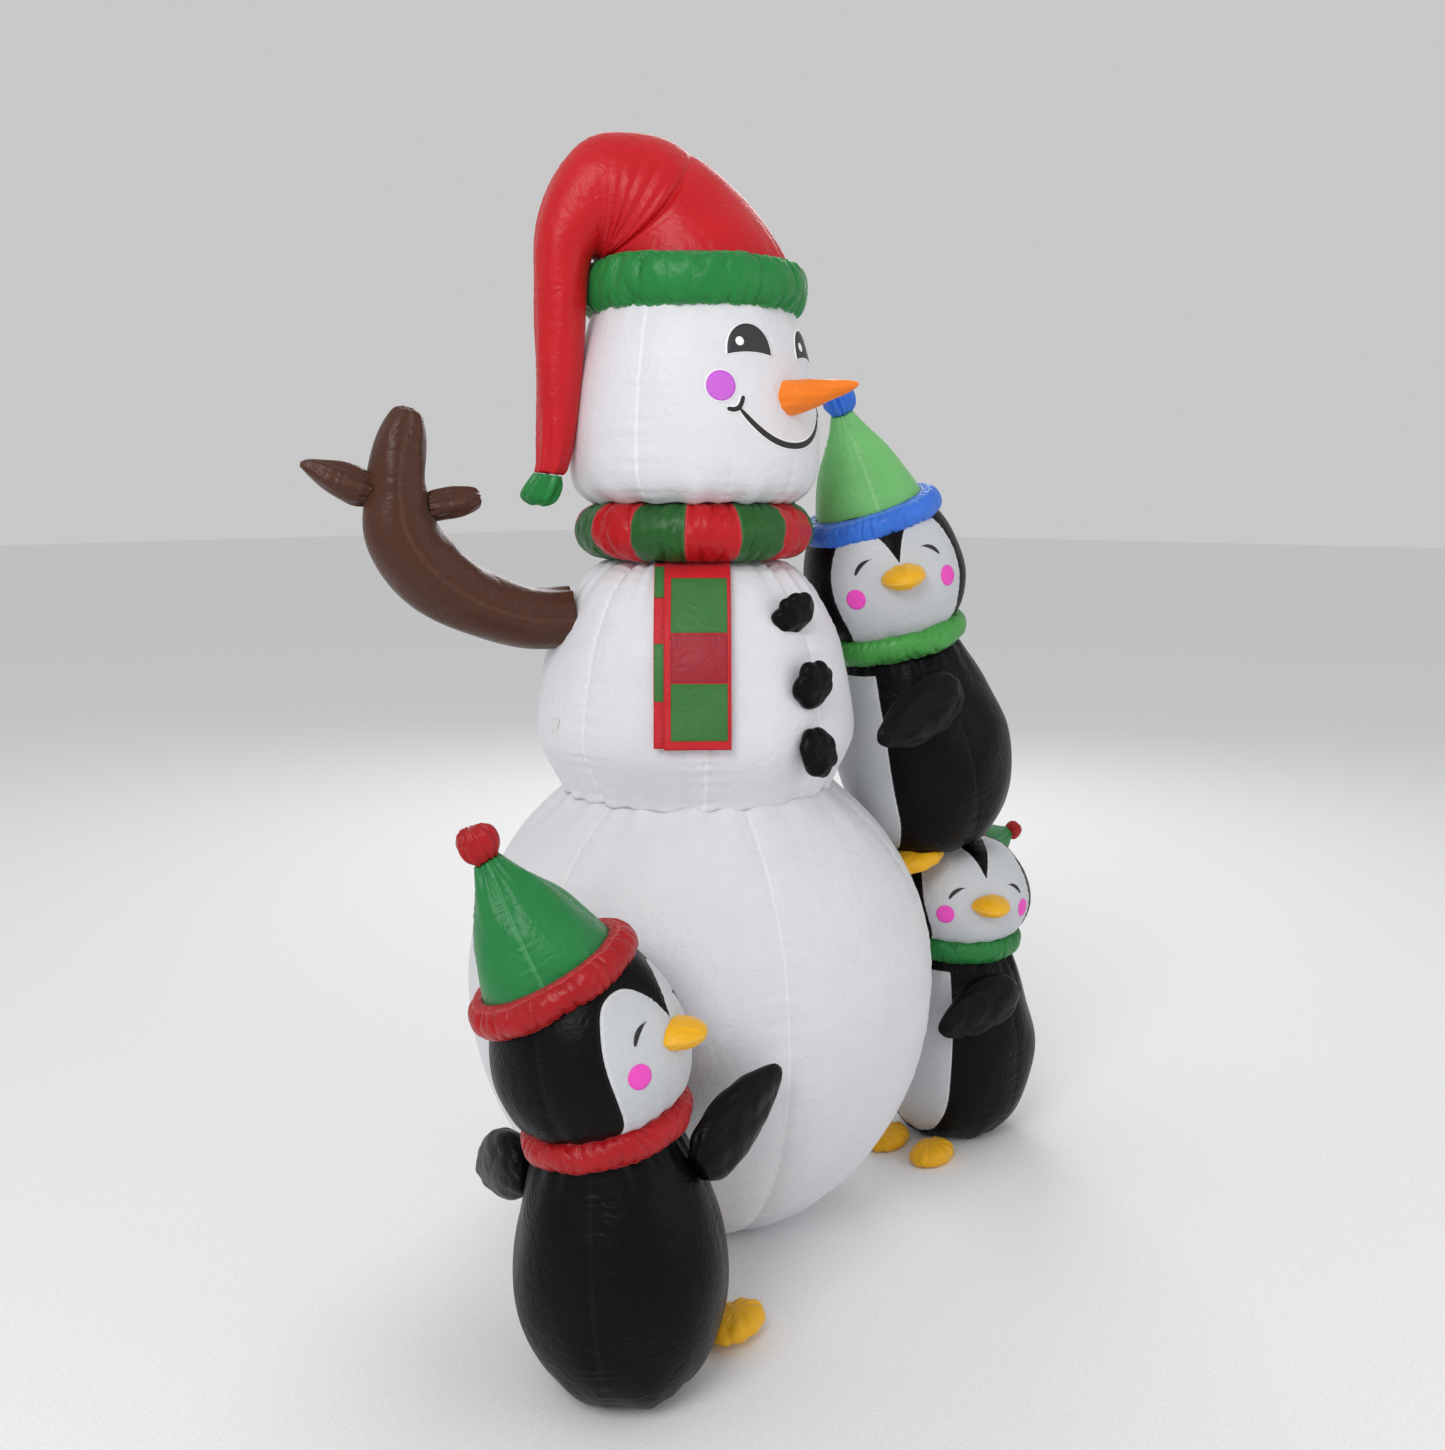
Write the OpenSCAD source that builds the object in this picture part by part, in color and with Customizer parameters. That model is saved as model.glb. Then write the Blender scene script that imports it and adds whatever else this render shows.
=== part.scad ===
// Inflatable yard snowman with three penguins.
// Sewn nylon skins blown up by a small fan at the back. Millimetres, +Z up.
// Origin: centre of the snowman's flat base on the ground. The snowman faces -Y.

/* [Snowman] */
// Radius of the lower ball
ball_r = 489; // [480:1:500]
// Radius of the flat base that the snowman stands on
base_r = 188; // [180:1:195]
// Height of the seam between the lower and middle balls
waist_z = 915; // [908:1:922]
// Thickness of each skin, drawn thicker than real fabric
skin = 2; // [1.5:0.5:2.5]
// Direction in which the arm and the hat's tail point, from +X towards +Y
arm_az = 152; // [150:1:156]

/* [Scarf] */
// Number of coloured panels round the scarf's ring
ring_panels = 14; // [12:2:16]
// Width of a hanging scarf end
tail_w = 124; // [110:1:130]
// Direction in which the scarf's ends hang
tail_az = 221; // [216:1:226]

/* [Blower] */
// Outer radius of the fan's housing
blower_r = 74; // [72:1:76]
// Radius of the impeller
impeller_r = 55; // [50:1:58]
// Number of impeller blades
blade_count = 9; // [7:1:11]

/* [Hidden] */
$fn = 96;

ball_z = 508;  // height at which the lower ball is widest
ball_low = ball_z / sqrt(1 - pow(base_r / ball_r, 2)); // its fuller lower half, cut flat on the ground
waist_r = sqrt(ball_r * ball_r - pow(waist_z - ball_z, 2));
neck_r = 158;    // hidden neck inside the scarf's ring
ring_low = 1382; // lowest and highest height of the scarf's ring
ring_high = 1489;
ring_out = 228;
band_low = 1850; // lowest and highest height of the hat's band
band_high = 1945;
seam_gap = 0.4;  // gap left between two skins that are sewn edge to edge

// ---- Curves ----

// One point of a Catmull-Rom curve between b and c.
function catmull(a, b, c, d, t) =
  0.5 * ((2 * b) + (c - a) * t + (2 * a - 5 * b + 4 * c - d) * t * t + (3 * b - a - 3 * c + d) * t * t * t);

// A smooth curve through the given points, with steps points on each stretch.
function smooth(p, steps) =
  let (n = len(p) - 1)
  concat(
    [for (i = [0:n - 1], k = [0:steps - 1])
      catmull(p[max(i - 1, 0)], p[i], p[i + 1], p[min(i + 2, n)], k / steps)],
    [p[n]]);

// Unit direction of a path at point i.
function heading(p, i) =
  let (d = p[min(i + 1, len(p) - 1)] - p[max(i - 1, 0)], v = [d[0], d[1]])
  v / norm(v);

// A profile moved inwards by w, for the inside of a skin; the axis end points only move along the axis.
function inset(p, w) =
  [for (i = [0:len(p) - 1])
    let (h = heading(p, i))
    p[i][0] < 0.01
      ? [0, p[i][1] + (i == 0 ? w : -w)]
      : [max(p[i][0] - w * h[1], 0.5), p[i][1] + w * h[0]]];

function backwards(p) = [for (i = [len(p) - 1:-1:0]) p[i]];

// Hollow body of revolution from a profile that starts and ends on the axis.
module balloon(p, w = skin) {
  rotate_extrude()
    polygon(concat(p, backwards(inset(p, w))));
}

// Closed surface over a list of rings that all have the same number of points.
module skin_over(rings) {
  n = len(rings);
  m = len(rings[0]);
  polyhedron(
    points = [for (r = rings, q = r) q],
    faces = concat(
      [[for (j = [0:m - 1]) j]],
      [for (i = [0:n - 2], j = [0:m - 1])
        let (k = (j + 1) % m) [i * m + j, (i + 1) * m + j, i * m + k]],
      [for (i = [0:n - 2], j = [0:m - 1])
        let (k = (j + 1) % m) [(i + 1) * m + j, (i + 1) * m + k, i * m + k]],
      [[for (j = [m - 1:-1:0]) (n - 1) * m + j]]));
}

// Hollow tube of cloth, open at its root and closed at its tip, from its outer and its inner rings.
module tube_over(outer, inner) {
  m = len(outer[0]);
  n = len(outer);
  v = len(inner);
  o = n * m;
  polyhedron(
    points = concat([for (r = outer, q = r) q], [for (r = inner, q = r) q]),
    faces = concat(
      [[for (j = [m - 1:-1:0]) (n - 1) * m + j]],
      [[for (j = [0:m - 1]) o + (v - 1) * m + j]],
      [for (i = [0:n - 2], j = [0:m - 1])
        let (k = (j + 1) % m) [i * m + j, (i + 1) * m + j, i * m + k]],
      [for (i = [0:n - 2], j = [0:m - 1])
        let (k = (j + 1) % m) [(i + 1) * m + j, (i + 1) * m + k, i * m + k]],
      [for (i = [0:v - 2], j = [0:m - 1])
        let (k = (j + 1) % m) [o + i * m + j, o + i * m + k, o + (i + 1) * m + j]],
      [for (i = [0:v - 2], j = [0:m - 1])
        let (k = (j + 1) % m) [o + (i + 1) * m + j, o + i * m + k, o + (i + 1) * m + k]],
      [for (j = [0:m - 1]) [j, (j + 1) % m, o + j]],
      [for (j = [0:m - 1]) let (k = (j + 1) % m) [k, o + k, o + j]]));
}

// Ring number i of a limb. p holds [x, z, radius in the XZ plane, radius along Y].
function limb_ring(p, i, w, sides) =
  let (h = heading(p, i), a = max(p[i][2] - w, 1), b = max(p[i][3] - w, 1))
  [for (j = [0:sides - 1])
    let (t = 360 * j / sides)
    [p[i][0] - h[1] * a * cos(t), b * sin(t), p[i][1] + h[0] * a * cos(t)]];

// Hollow tube along a curve in the XZ plane, open at its root and closed at its tip.
module limb(controls, steps = 4, sides = 20, w = skin) {
  p = smooth(controls, steps);
  n = len(p) - 1;
  tube_over(
    [for (i = [0:n]) limb_ring(p, i, 0, sides)],
    [for (i = [0:n - 1]) limb_ring(p, i, w, sides)]);
}

// Hollow stack of ellipses, closed at the bottom and open at the neck.
// rows holds [z, centre x, radius along X, radius along Y].
module egg(rows, steps = 2, sides = 24, w = skin) {
  p = smooth(rows, steps);
  n = len(p) - 1;
  function ring(i, w, z) =
    [for (j = [0:sides - 1])
      let (t = 360 * j / sides)
      [p[i][1] + (p[i][2] - w) * cos(t), (p[i][3] - w) * sin(t), z]];
  skin_over(concat(
    [for (i = [0:n]) ring(i, 0, p[i][0])],
    [for (i = [n:-1:0]) ring(i, w, max(p[i][0], w))]));
}

// Soft ring with a D-shaped section between radius r_in and r_out, height h, hollow.
module roll(r_in, r_out, h, w = skin) {
  d = r_out - r_in;
  function section(g) =
    [for (t = [-90:15:90])
      [r_in + g + (d - 2 * g) * cos(t), (h / 2 - g) * sin(t)]];
  rotate_extrude()
    difference() {
      polygon(section(0));
      polygon(section(w));
    }
}

// ---- Snowman ----

// Everything above the lower ball stands a little off its axis.
module upper() {
  translate([-8, 9, 0]) children();
}

middle_profile = smooth([
  [waist_r, waist_z], [315, 994], [328, 1041], [320, 1108], [308, 1169], [295, 1222],
  [266, 1283], [228, 1340], [191, 1370], [neck_r, ring_low - 3]], 3);
head_profile = smooth([
  [neck_r, 1490], [200, 1490], [236, 1517], [249, 1555], [250, 1609], [247, 1652],
  [237, 1721], [222, 1787], [206, 1839], [185, 1895], [146, 1942]], 3);

// Radius of the middle ball at height z, read off its profile.
function middle_r(z) = lookup(z, [for (p = middle_profile) [p[1], p[0]]]);
function head_r(z) = lookup(z, [for (p = head_profile) [p[1], p[0]]]);

module lower_ball() {
  a0 = asin(-ball_z / ball_low);
  a1 = asin((waist_z - ball_z) / ball_r);
  steps = 28;
  outline = concat(
    [[0, 0]],
    [for (i = [0:steps])
      let (a = a0 + (a1 - a0) * i / steps)
      [ball_r * cos(a), ball_z + (a < 0 ? ball_low : ball_r) * sin(a)]],
    [[0, waist_z]]);
  color("white")
    difference() {
      balloon(outline);
      blower_axis()
        translate([0, 0, -90])
          cylinder(r = blower_r + 1, h = 200);
    }
}

module middle_ball() {
  color("white") upper()
    balloon(concat([[0, waist_z + seam_gap]], [for (p = middle_profile) [p[0], p[1] + seam_gap]],
      [[neck_r, 1488], [0, 1488]]));
}

module head() {
  color("white") upper()
    balloon(concat([[0, 1490]], head_profile, [[0, 1952]]));
}

// Hat: cone that leans over and runs down into a long tail beside the head.
// Each row holds the outer edge [x, z], the inner edge [x, z] and the half width across.
hat_rows = [
  [-190, 1908, 188, 1908, 189], [-180, 1960, 185, 1928, 180], [-141, 2021, 183, 1940, 168],
  [-87, 2081, 183, 1944, 150], [-11, 2138, 186, 1949, 130], [77, 2178, 190, 1952, 111],
  [168, 2182, 195, 1954, 96], [228, 2158, 201, 1953, 85], [276, 2102, 207, 1949, 75],
  [305, 2038, 212, 1941, 66], [319, 1975, 215, 1928, 60], [321, 1900, 218, 1890, 56],
  [321, 1760, 230, 1760, 50], [322, 1640, 242, 1640, 45], [324, 1568, 262, 1562, 37],
  [328, 1549, 274, 1543, 30]];
tip_rows = [
  [330, 1546, 276, 1540, 29], [346, 1526, 276, 1518, 30], [354, 1504, 288, 1494, 25],
  [338, 1489, 308, 1485, 12]];

function fold_ring(q, w, sides) =
  let (o = [q[0], q[1]], i = [q[2], q[3]], c = (o + i) / 2, a = norm(o - i) / 2, u = (o - c) / a)
  [for (j = [0:sides - 1])
    let (t = 360 * j / sides, m = c + u * max(a - w, 1) * cos(t))
    [m[0], max(q[4] - w, 1) * sin(t), m[1]]];

module fold(rows, steps, sides, w = skin) {
  p = smooth(rows, steps);
  n = len(p) - 1;
  tube_over(
    [for (i = [0:n]) fold_ring(p[i], 0, sides)],
    [for (i = [0:n - 1]) fold_ring(p[i], w, sides)]);
}

module hat() {
  color("red")
    upper()
      rotate([0, 0, arm_az])
        fold(hat_rows, 2, 20);
}

module hat_tip() {
  color("green")
    upper()
      rotate([0, 0, arm_az])
        translate([0, 0, -1])
          fold(tip_rows, 2, 16);
}

module hat_band() {
  color("green") upper()
    translate([0, 0, (band_low + band_high) / 2])
      roll(198, 212, band_high - band_low);
}

module scarf_ring(first) {
  span = 360 / ring_panels;
  d = ring_out - neck_r - 1;
  h = (ring_high - ring_low) / 2;
  for (i = [first:2:ring_panels - 1])
    rotate([0, 0, i * span + 217])
      rotate_extrude(angle = span - 0.15)
        translate([neck_r + 1, (ring_low + ring_high) / 2])
          difference() {
            polygon([for (t = [-90:15:90]) [d * cos(t), h * sin(t)]]);
            polygon([for (t = [-90:15:90]) [skin + (d - 2 * skin) * cos(t), (h - skin) * sin(t)]]);
          }
}

module scarf_ring_red() {
  color("red") upper() scarf_ring(0);
}

module scarf_ring_green() {
  color("green") upper() scarf_ring(1);
}

// Cloth strip that lies over the middle ball: lift is its height over the ball, side its shift round it.
module strip(lift, side, width, z_low, z_high, thick = 1.5) {
  steps = 24;
  function at(i) = z_low + (z_high - z_low) * i / steps;
  function r(z) = max(middle_r(z), z < 1041 ? 326 : 0) + lift;
  path = [for (i = [0:steps]) [r(at(i)), at(i)]];
  rotate([0, 0, tail_az])
    translate([0, side + width / 2, 0])
      rotate([90, 0, 0])
        linear_extrude(width)
          polygon(concat(path, backwards([for (q = path) [q[0] + thick, q[1] + thick / 2]])));
}

strip_low = 1045; // lower hem of the scarf's ends
strip_high = 1385;

module scarf_tail_front() {
  color("red") upper() strip(12, 6, tail_w, strip_low, strip_high);
}

module scarf_tail_back() {
  color("crimson") upper() strip(7, -13, tail_w, strip_low + 2, strip_high - 5);
}

module scarf_patches() {
  color("green") upper() {
    for (z = [[1256, 1352], [1062, 1165]])
      strip(14, 9, tail_w - 20, z[0], z[1], 0.8);
    for (z = [[1318, 1372], [1132, 1236]])
      strip(9.2, -tail_w / 2 - 3, 16, z[0], z[1], 0.8);
  }
}

nose_z = 1685;
module nose() {
  color("orange") upper()
    translate([0, -head_r(nose_z) + 6, nose_z])
      rotate([83, 0, 0])
        balloon(concat([[0, 0]], smooth([[34, 0], [33, 15], [24, 70], [12, 135], [4, 160]], 3), [[0, 162]]));
}

// Arm: stick that leaves the side of the middle ball and turns up at the elbow.
arm_controls = [
  [266, 1267, 60, 60], [355, 1271, 62, 62], [452, 1305, 64, 62], [532, 1360, 73, 64],
  [584, 1432, 70, 62], [592, 1506, 58, 54], [588, 1560, 51, 48], [576, 1614, 44, 42],
  [566, 1653, 30, 32], [563, 1665, 12, 16]];

module arm() {
  color("saddlebrown") upper()
    rotate([0, 0, arm_az])
      difference() {
        limb(arm_controls, steps = 2, sides = 16);
        translate([0, 0, 1100])
          cylinder(r = middle_r(1267) - 1, h = 300);
      }
}

module twigs() {
  color("saddlebrown") upper()
    rotate([0, 0, arm_az]) {
      limb([[642, 1513, 24, 26], [665, 1522, 34, 31], [705, 1538, 31, 28], [745, 1556, 15, 16],
        [762, 1560, 4, 5]], steps = 2, sides = 12);
      limb([[536, 1485, 24, 24], [518, 1487, 29, 27], [480, 1493, 29, 26], [445, 1500, 20, 20],
        [436, 1502, 10, 12]], steps = 2, sides = 12);
    }
}

button_z = [1291, 1154, 1020];
module buttons() {
  color("black") upper()
    for (z = button_z)
      rotate([0, 0, -6]) translate([0, -middle_r(z) - 1, z])
        rotate([90 + atan((middle_r(z - 20) - middle_r(z + 20)) / 40), 0, 0])
          balloon(concat([[0, 0]], smooth([[33, 0], [45, 11], [44, 25], [28, 38]], 3), [[0, 42]]));
}

tab_z = 1065;
module tether_tabs() {
  color("white") upper()
    for (a = [166, 90, 14])
      rotate([0, 0, a])
        translate([middle_r(tab_z) + 1, -12.5, tab_z - 14])
          cube([2.4, 25, 28]);
}

// ---- Anchors ----

strap_az = [54, 106, 204, 350];
eyelet_at = 410;   // distance of each eyelet from the axis
eyelet_hole_r = 6;
module ground_straps() {
  color("white")
    for (a = strap_az)
      rotate([0, 0, a])
        difference() {
          translate([base_r + 4, -14, 0]) cube([eyelet_at - base_r + 22, 28, 2]);
          translate([eyelet_at, 0, -1]) cylinder(r = eyelet_hole_r + 3, h = 4);
        }
}

module strap_eyelets() {
  color("silver")
    for (a = strap_az)
      rotate([0, 0, a])
        translate([eyelet_at, 0, 0])
          rotate_extrude()
            polygon([[eyelet_hole_r, 0], [eyelet_hole_r + 2.9, 0], [eyelet_hole_r + 2.9, 2.1],
              [eyelet_hole_r + 5, 2.1], [eyelet_hole_r + 4, 3.2], [eyelet_hole_r, 3.2]]);
}

// ---- Penguins ----
// Each hugs the snowman with its body and turns its head outwards. Before it is placed it faces +X.

egg_rows = [
  [0, 0, 84, 78], [22, 0, 128, 120], [75, -4, 166, 158], [155, -6, 188, 182],
  [250, -6, 192, 188], [340, -2, 172, 170], [420, 0, 142, 142], [472, 0, 120, 120]];
collar_z = 490;
collar_h = 58;
penguin_head_profile = smooth([
  [112, 0], [150, 34], [170, 90], [172, 140], [160, 200], [138, 250], [108, 290], [60, 316]], 3);
head_up = 500;      // height of the head's underside over the base
head_h = 322;
cap_profile = smooth([[116, 0], [112, 40], [88, 105], [56, 165], [32, 205], [24, 222]], 3);
cap_h = 224;

feet_on = [[-561, -331, 0], [566, -236, 718], [639, -248, 0]];
body_az = [30, 156, 172];       // direction in which each body faces
lean_to = [136, 156, 0];       // direction in which each leans, from +X towards +Y
body_lean = [5, 15, 0];
head_lean = [12, 15, 0];       // leans of the head and of the hat, both from upright
cap_lean = [27, 20, 74];
cap_to = [134, 156, -15];
body_k = [0.97, 1.02, 0.97];        // size of each penguin
head_az = [289, 228, 236];     // direction in which the face looks
head_squash = [0.96, 0.96, 0.76];
cap_k = [1.05, 1, 0.66];
cap_at = [[-21, 25, 270], [0, 0, 262], [84, 26, 176]]; // middle of each hat's rim over the collar

// Tilts its children from upright towards a direction.
module lean(angle, to) {
  rotate([0, 0, to]) rotate([0, angle, 0]) rotate([0, 0, -to]) children();
}

module at_neck(p) {
  translate(feet_on[p])
    lean(body_lean[p], lean_to[p])
      scale(body_k[p])
        translate([0, 0, collar_z])
          lean(head_lean[p] - body_lean[p], lean_to[p])
            children();
}

module at_body(p) {
  translate(feet_on[p])
    lean(body_lean[p], lean_to[p])
      rotate([0, 0, body_az[p]])
        scale(body_k[p])
          children();
}

module at_head(p) {
  at_neck(p)
    translate([0, 0, head_up - collar_z])
      rotate([0, 0, head_az[p]])
        children();
}

module at_cap(p) {
  at_neck(p)
    translate(cap_at[p])
      lean(cap_lean[p] - head_lean[p], cap_to[p])
        scale(cap_k[p])
          children();
}

// Outlines of the pale panels, seen from the front: half of each, mirrored.
belly_half = smooth([[0, 26], [52, 44], [98, 120], [112, 230], [104, 330], [82, 410], [72, 440]], 4);
face_half = smooth([[0, 172], [24, 224], [58, 252], [100, 236], [130, 178], [136, 108], [114, 30], [98, -6]], 4);

module panel_prism(half, top) {
  rotate([90, 0, 90])
    linear_extrude(260)
      polygon(concat(half, top, backwards([for (q = half) [-q[0], q[1]]])));
}

module belly_prism() {
  translate([20, 0, 0])
    panel_prism(belly_half, []);
}

module face_prism() {
  translate([20, 0, 0])
    panel_prism(face_half, [[90, -20], [-90, -20]]);
}

module penguin_head_shell(p) {
  k = head_squash[p];
  balloon(concat([[0, 0]], [for (q = penguin_head_profile) [q[0], q[1] * k]], [[0, head_h * k]]));
}

module penguin_body(p) {
  color("black")
    at_body(p)
      difference() {
        egg(egg_rows);
        belly_prism();
      }
}

module penguin_belly(p) {
  color("gainsboro")
    at_body(p)
      intersection() {
        egg(egg_rows);
        belly_prism();
      }
}

module penguin_head(p) {
  color("black")
    at_head(p)
      difference() {
        penguin_head_shell(p);
        face_prism();
      }
}

module penguin_face(p) {
  color("gainsboro")
    at_head(p)
      intersection() {
        penguin_head_shell(p);
        face_prism();
      }
}

module penguin_hat(p) {
  color("green")
    at_cap(p)
      balloon(concat([[0, 0]], cap_profile, [[0, cap_h]]));
}

module penguin_hat_band(p) {
  color(p == 1 ? "royalblue" : "red")
    at_cap(p)
      roll(117, 144, 54);
}

module penguin_pompom(p) {
  color(p == 1 ? "royalblue" : "red")
    at_cap(p)
      translate([0, 0, cap_h + 0.5])
        balloon(concat([[0, 0]], smooth([[20, 0], [29, 16], [30, 38], [22, 52]], 3), [[0, 56]]));
}

module penguin_collar(p) {
  color(p == 0 ? "red" : "green")
    at_neck(p)
      roll(122, 146, collar_h);
}

module penguin_beak(p) {
  color("gold")
    at_head(p)
      translate([165, 0, 150 * head_squash[p]])
        rotate([0, 94, 0])
          skin_over(concat(
            [for (t = [0:0.125:0.875])
              [for (j = [0:23])
                let (a = 15 * j, k = sqrt(1 - t * t))
                [25 * k * sin(a) * (1 - 0.25 * abs(cos(a))), 46 * k * cos(a), 58 * t]]],
            [[for (j = [0:23]) let (a = 15 * j) [2 * sin(a), 4 * cos(a), 58]]]));
}

// Flippers: [x, turn about the vertical, raise, height], for the left side and then the right side of each.
flipper_set = [
  [[-10, 42, -25, 415], [-26, -30, 20, 412]],
  [[-20, 16, -4, 378], [-10, -70, -4, 372]],
  [[-20, -4, -8, 385], [-10, -72, -8, 385]]];
module penguin_flippers(p) {
  color("black")
    at_body(p)
      for (k = [0, 1])
        let (q = flipper_set[p][k], side = k == 0 ? 1 : -1)
        translate([q[0], side * 158, q[3]])
          rotate([0, -q[2], q[1]])
            limb([[0, 0, 30, 20], [30, 0, 56, 30], [95, 0, 66, 33], [170, 0, 54, 26], [236, 0, 25, 14],
              [254, 0, 8, 6]], steps = 2, sides = 12);
}

foot_out = [202, 105, 195];
foot_turn = [-33, 0, 8];
module penguin_feet(p) {
  color("gold")
    at_body(p)
      for (s = [-1, 1])
        rotate([0, 0, foot_turn[p]])
        translate([foot_out[p], s * 62, p == 1 ? -6 : 0])
          skin_over([for (q = [[0, 0.72], [4, 0.92], [14, 1], [26, 0.92], [36, 0.66], [41, 0.2]])
            [for (j = [0:23])
              let (a = 15 * j)
              [66 * q[1] * cos(a), 46 * q[1] * sin(a), q[0]]]]);
}

module penguin1_body() { penguin_body(0); }
module penguin1_belly() { penguin_belly(0); }
module penguin1_head() { penguin_head(0); }
module penguin1_face() { penguin_face(0); }
module penguin1_hat() { penguin_hat(0); }
module penguin1_hat_band() { penguin_hat_band(0); }
module penguin1_pompom() { penguin_pompom(0); }
module penguin1_collar() { penguin_collar(0); }
module penguin1_beak() { penguin_beak(0); }
module penguin1_flippers() { penguin_flippers(0); }
module penguin1_feet() { penguin_feet(0); }
module penguin2_body() { penguin_body(1); }
module penguin2_belly() { penguin_belly(1); }
module penguin2_head() { penguin_head(1); }
module penguin2_face() { penguin_face(1); }
module penguin2_hat() { penguin_hat(1); }
module penguin2_hat_band() { penguin_hat_band(1); }
module penguin2_pompom() { penguin_pompom(1); }
module penguin2_collar() { penguin_collar(1); }
module penguin2_beak() { penguin_beak(1); }
module penguin2_flippers() { penguin_flippers(1); }
module penguin2_feet() { penguin_feet(1); }
module penguin3_body() { penguin_body(2); }
module penguin3_belly() { penguin_belly(2); }
module penguin3_head() { penguin_head(2); }
module penguin3_face() { penguin_face(2); }
module penguin3_hat() { penguin_hat(2); }
module penguin3_hat_band() { penguin_hat_band(2); }
module penguin3_pompom() { penguin_pompom(2); }
module penguin3_collar() { penguin_collar(2); }
module penguin3_beak() { penguin_beak(2); }
module penguin3_flippers() { penguin_flippers(2); }
module penguin3_feet() { penguin_feet(2); }

// ---- Blower ----
// It sits in a hole low in the back of the lower ball, square to the skin, with its clamped
// flange at height 0 of its own frame and its intake outside.

blower_z = 230; // height of its hole
blower_y = ball_r * sqrt(1 - pow((ball_z - blower_z) / ball_low, 2));
blower_tilt = atan((ball_z - blower_z) / pow(ball_low, 2) * pow(ball_r, 2) / blower_y);
motor_r = 24;
wall = 3;
drum_r = blower_r - 6;
flange_r = blower_r + 8;
drum_l = 62;    // length of the drum inside the skin
front_at = -74; // front wall of the drum
rear_l = 46;    // how far the rear half stands out
jack_r = 2.8;
jack_l = 10;

module blower_axis() {
  translate([0, blower_y, blower_z])
    rotate([-90 - blower_tilt, 0, 0])
      children();
}

// Front half, inside the skin: drum with air outlets round the motor's seat.
module blower_front() {
  color("dimgray")
    blower_axis()
      translate([0, 0, front_at])
        difference() {
          union() {
            cylinder(r = drum_r, h = drum_l);
            translate([0, 0, drum_l - 5]) cylinder(r = flange_r, h = 5);
          }
          translate([0, 0, wall]) cylinder(r = drum_r - wall, h = drum_l);
          for (i = [0:5])
            rotate([0, 0, 60 * i])
              translate([44, 0, -1]) cylinder(r = 13, h = wall + 2);
          translate([0, 0, -1]) cylinder(r = motor_r + 0.3, h = wall + 2);
        }
}

// Rear half, outside: spigot, flange, barrel with moulded guard rings and ribs, and the power socket.
module blower_rear() {
  color("black")
    blower_axis()
      difference() {
        union() {
          difference() {
            union() {
              translate([0, 0, -20]) cylinder(r = drum_r - wall - 0.4, h = 22);
              translate([0, 0, -5.4]) cylinder(r = flange_r, h = 5);
              translate([0, 0, -1]) cylinder(r = blower_r - 2, h = rear_l + 1);
            }
            translate([0, 0, -21]) cylinder(r = drum_r - 2 * wall, h = 21 + rear_l - wall);
            translate([0, 0, rear_l - wall - 1]) cylinder(r = impeller_r - 3, h = wall + 2);
          }
          for (r = [12, 22, 32, 42])
            translate([0, 0, rear_l - wall])
              difference() {
                cylinder(r = r + 1.2, h = wall);
                translate([0, 0, -1]) cylinder(r = r - 1.2, h = wall + 2);
              }
          for (i = [0:7])
            rotate([0, 0, 45 * i])
              translate([8, -1.2, rear_l - wall]) cube([impeller_r - 9, 2.4, wall]);
          translate([0, 0, rear_l - wall]) cylinder(r = 9, h = wall);
          translate([0, 60, rear_l - 16]) cylinder(r = 7, h = 19);
        }
        translate([0, 60, rear_l + 3 - jack_l]) cylinder(r = jack_r, h = jack_l + 1);
      }
}

module blower_motor() {
  color("silver")
    blower_axis()
      translate([0, 0, front_at]) {
        cylinder(r = motor_r, h = 50);
        cylinder(r = 3, h = 92);
      }
}

impeller_at = -17; // back plate of the impeller
module impeller() {
  color("white")
    blower_axis()
      translate([0, 0, impeller_at])
        difference() {
          union() {
            cylinder(r = impeller_r, h = 2.5);
            cylinder(r = 12, h = 46);
            for (i = [0:blade_count - 1])
              rotate([0, 0, 360 * i / blade_count])
                translate([10, -1, 2])
                  rotate([0, 0, 22])
                    cube([impeller_r - 14, 2, 40]);
          }
          translate([0, 0, -1]) cylinder(r = 3.05, h = 42);
        }
}

// ---- Light string ----
// Cable that climbs inside the lower ball from the blower, with bulbs along it.
cable_route = [
  [0, 372, 262], [0, 350, 275], [0, 300, 300], [30, 190, 400], [20, 90, 560], [-10, 40, 740],
  [-30, 10, 860], [-30, 8, 890]];
cable_sides = 8;
cable_r = 2.5;

function tube_ring(p, i, r) =
  let (d = p[min(i + 1, len(p) - 1)] - p[max(i - 1, 0)],
    h = d / norm(d),
    u = cross(h, [1, 0, 0]) / norm(cross(h, [1, 0, 0])),
    v = cross(h, u))
  [for (j = [0:cable_sides - 1])
    let (t = 360 * j / cable_sides)
    p[i] + r * (cos(t) * u + sin(t) * v)];

module light_cable() {
  p = smooth(cable_route, 5);
  color("white")
    skin_over(backwards([for (i = [0:len(p) - 1]) tube_ring(p, i, cable_r)]));
}

module light_bulbs() {
  color("lightyellow")
    for (i = [3:6])
      translate(cable_route[i] + [cable_r - 1, 0, 0])
        rotate([0, 90, 0])
          rotate_extrude()
            polygon([[0, 0], [9, 0], [9, 12], [7, 22], [3, 28], [0, 29]]);
}

// ---- Zipper ----
// Deflation zipper that follows the back of the lower ball; angles are seen from the ball's centre.
zip_low = 3;
zip_high = 34;
zip_w = 30;

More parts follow.
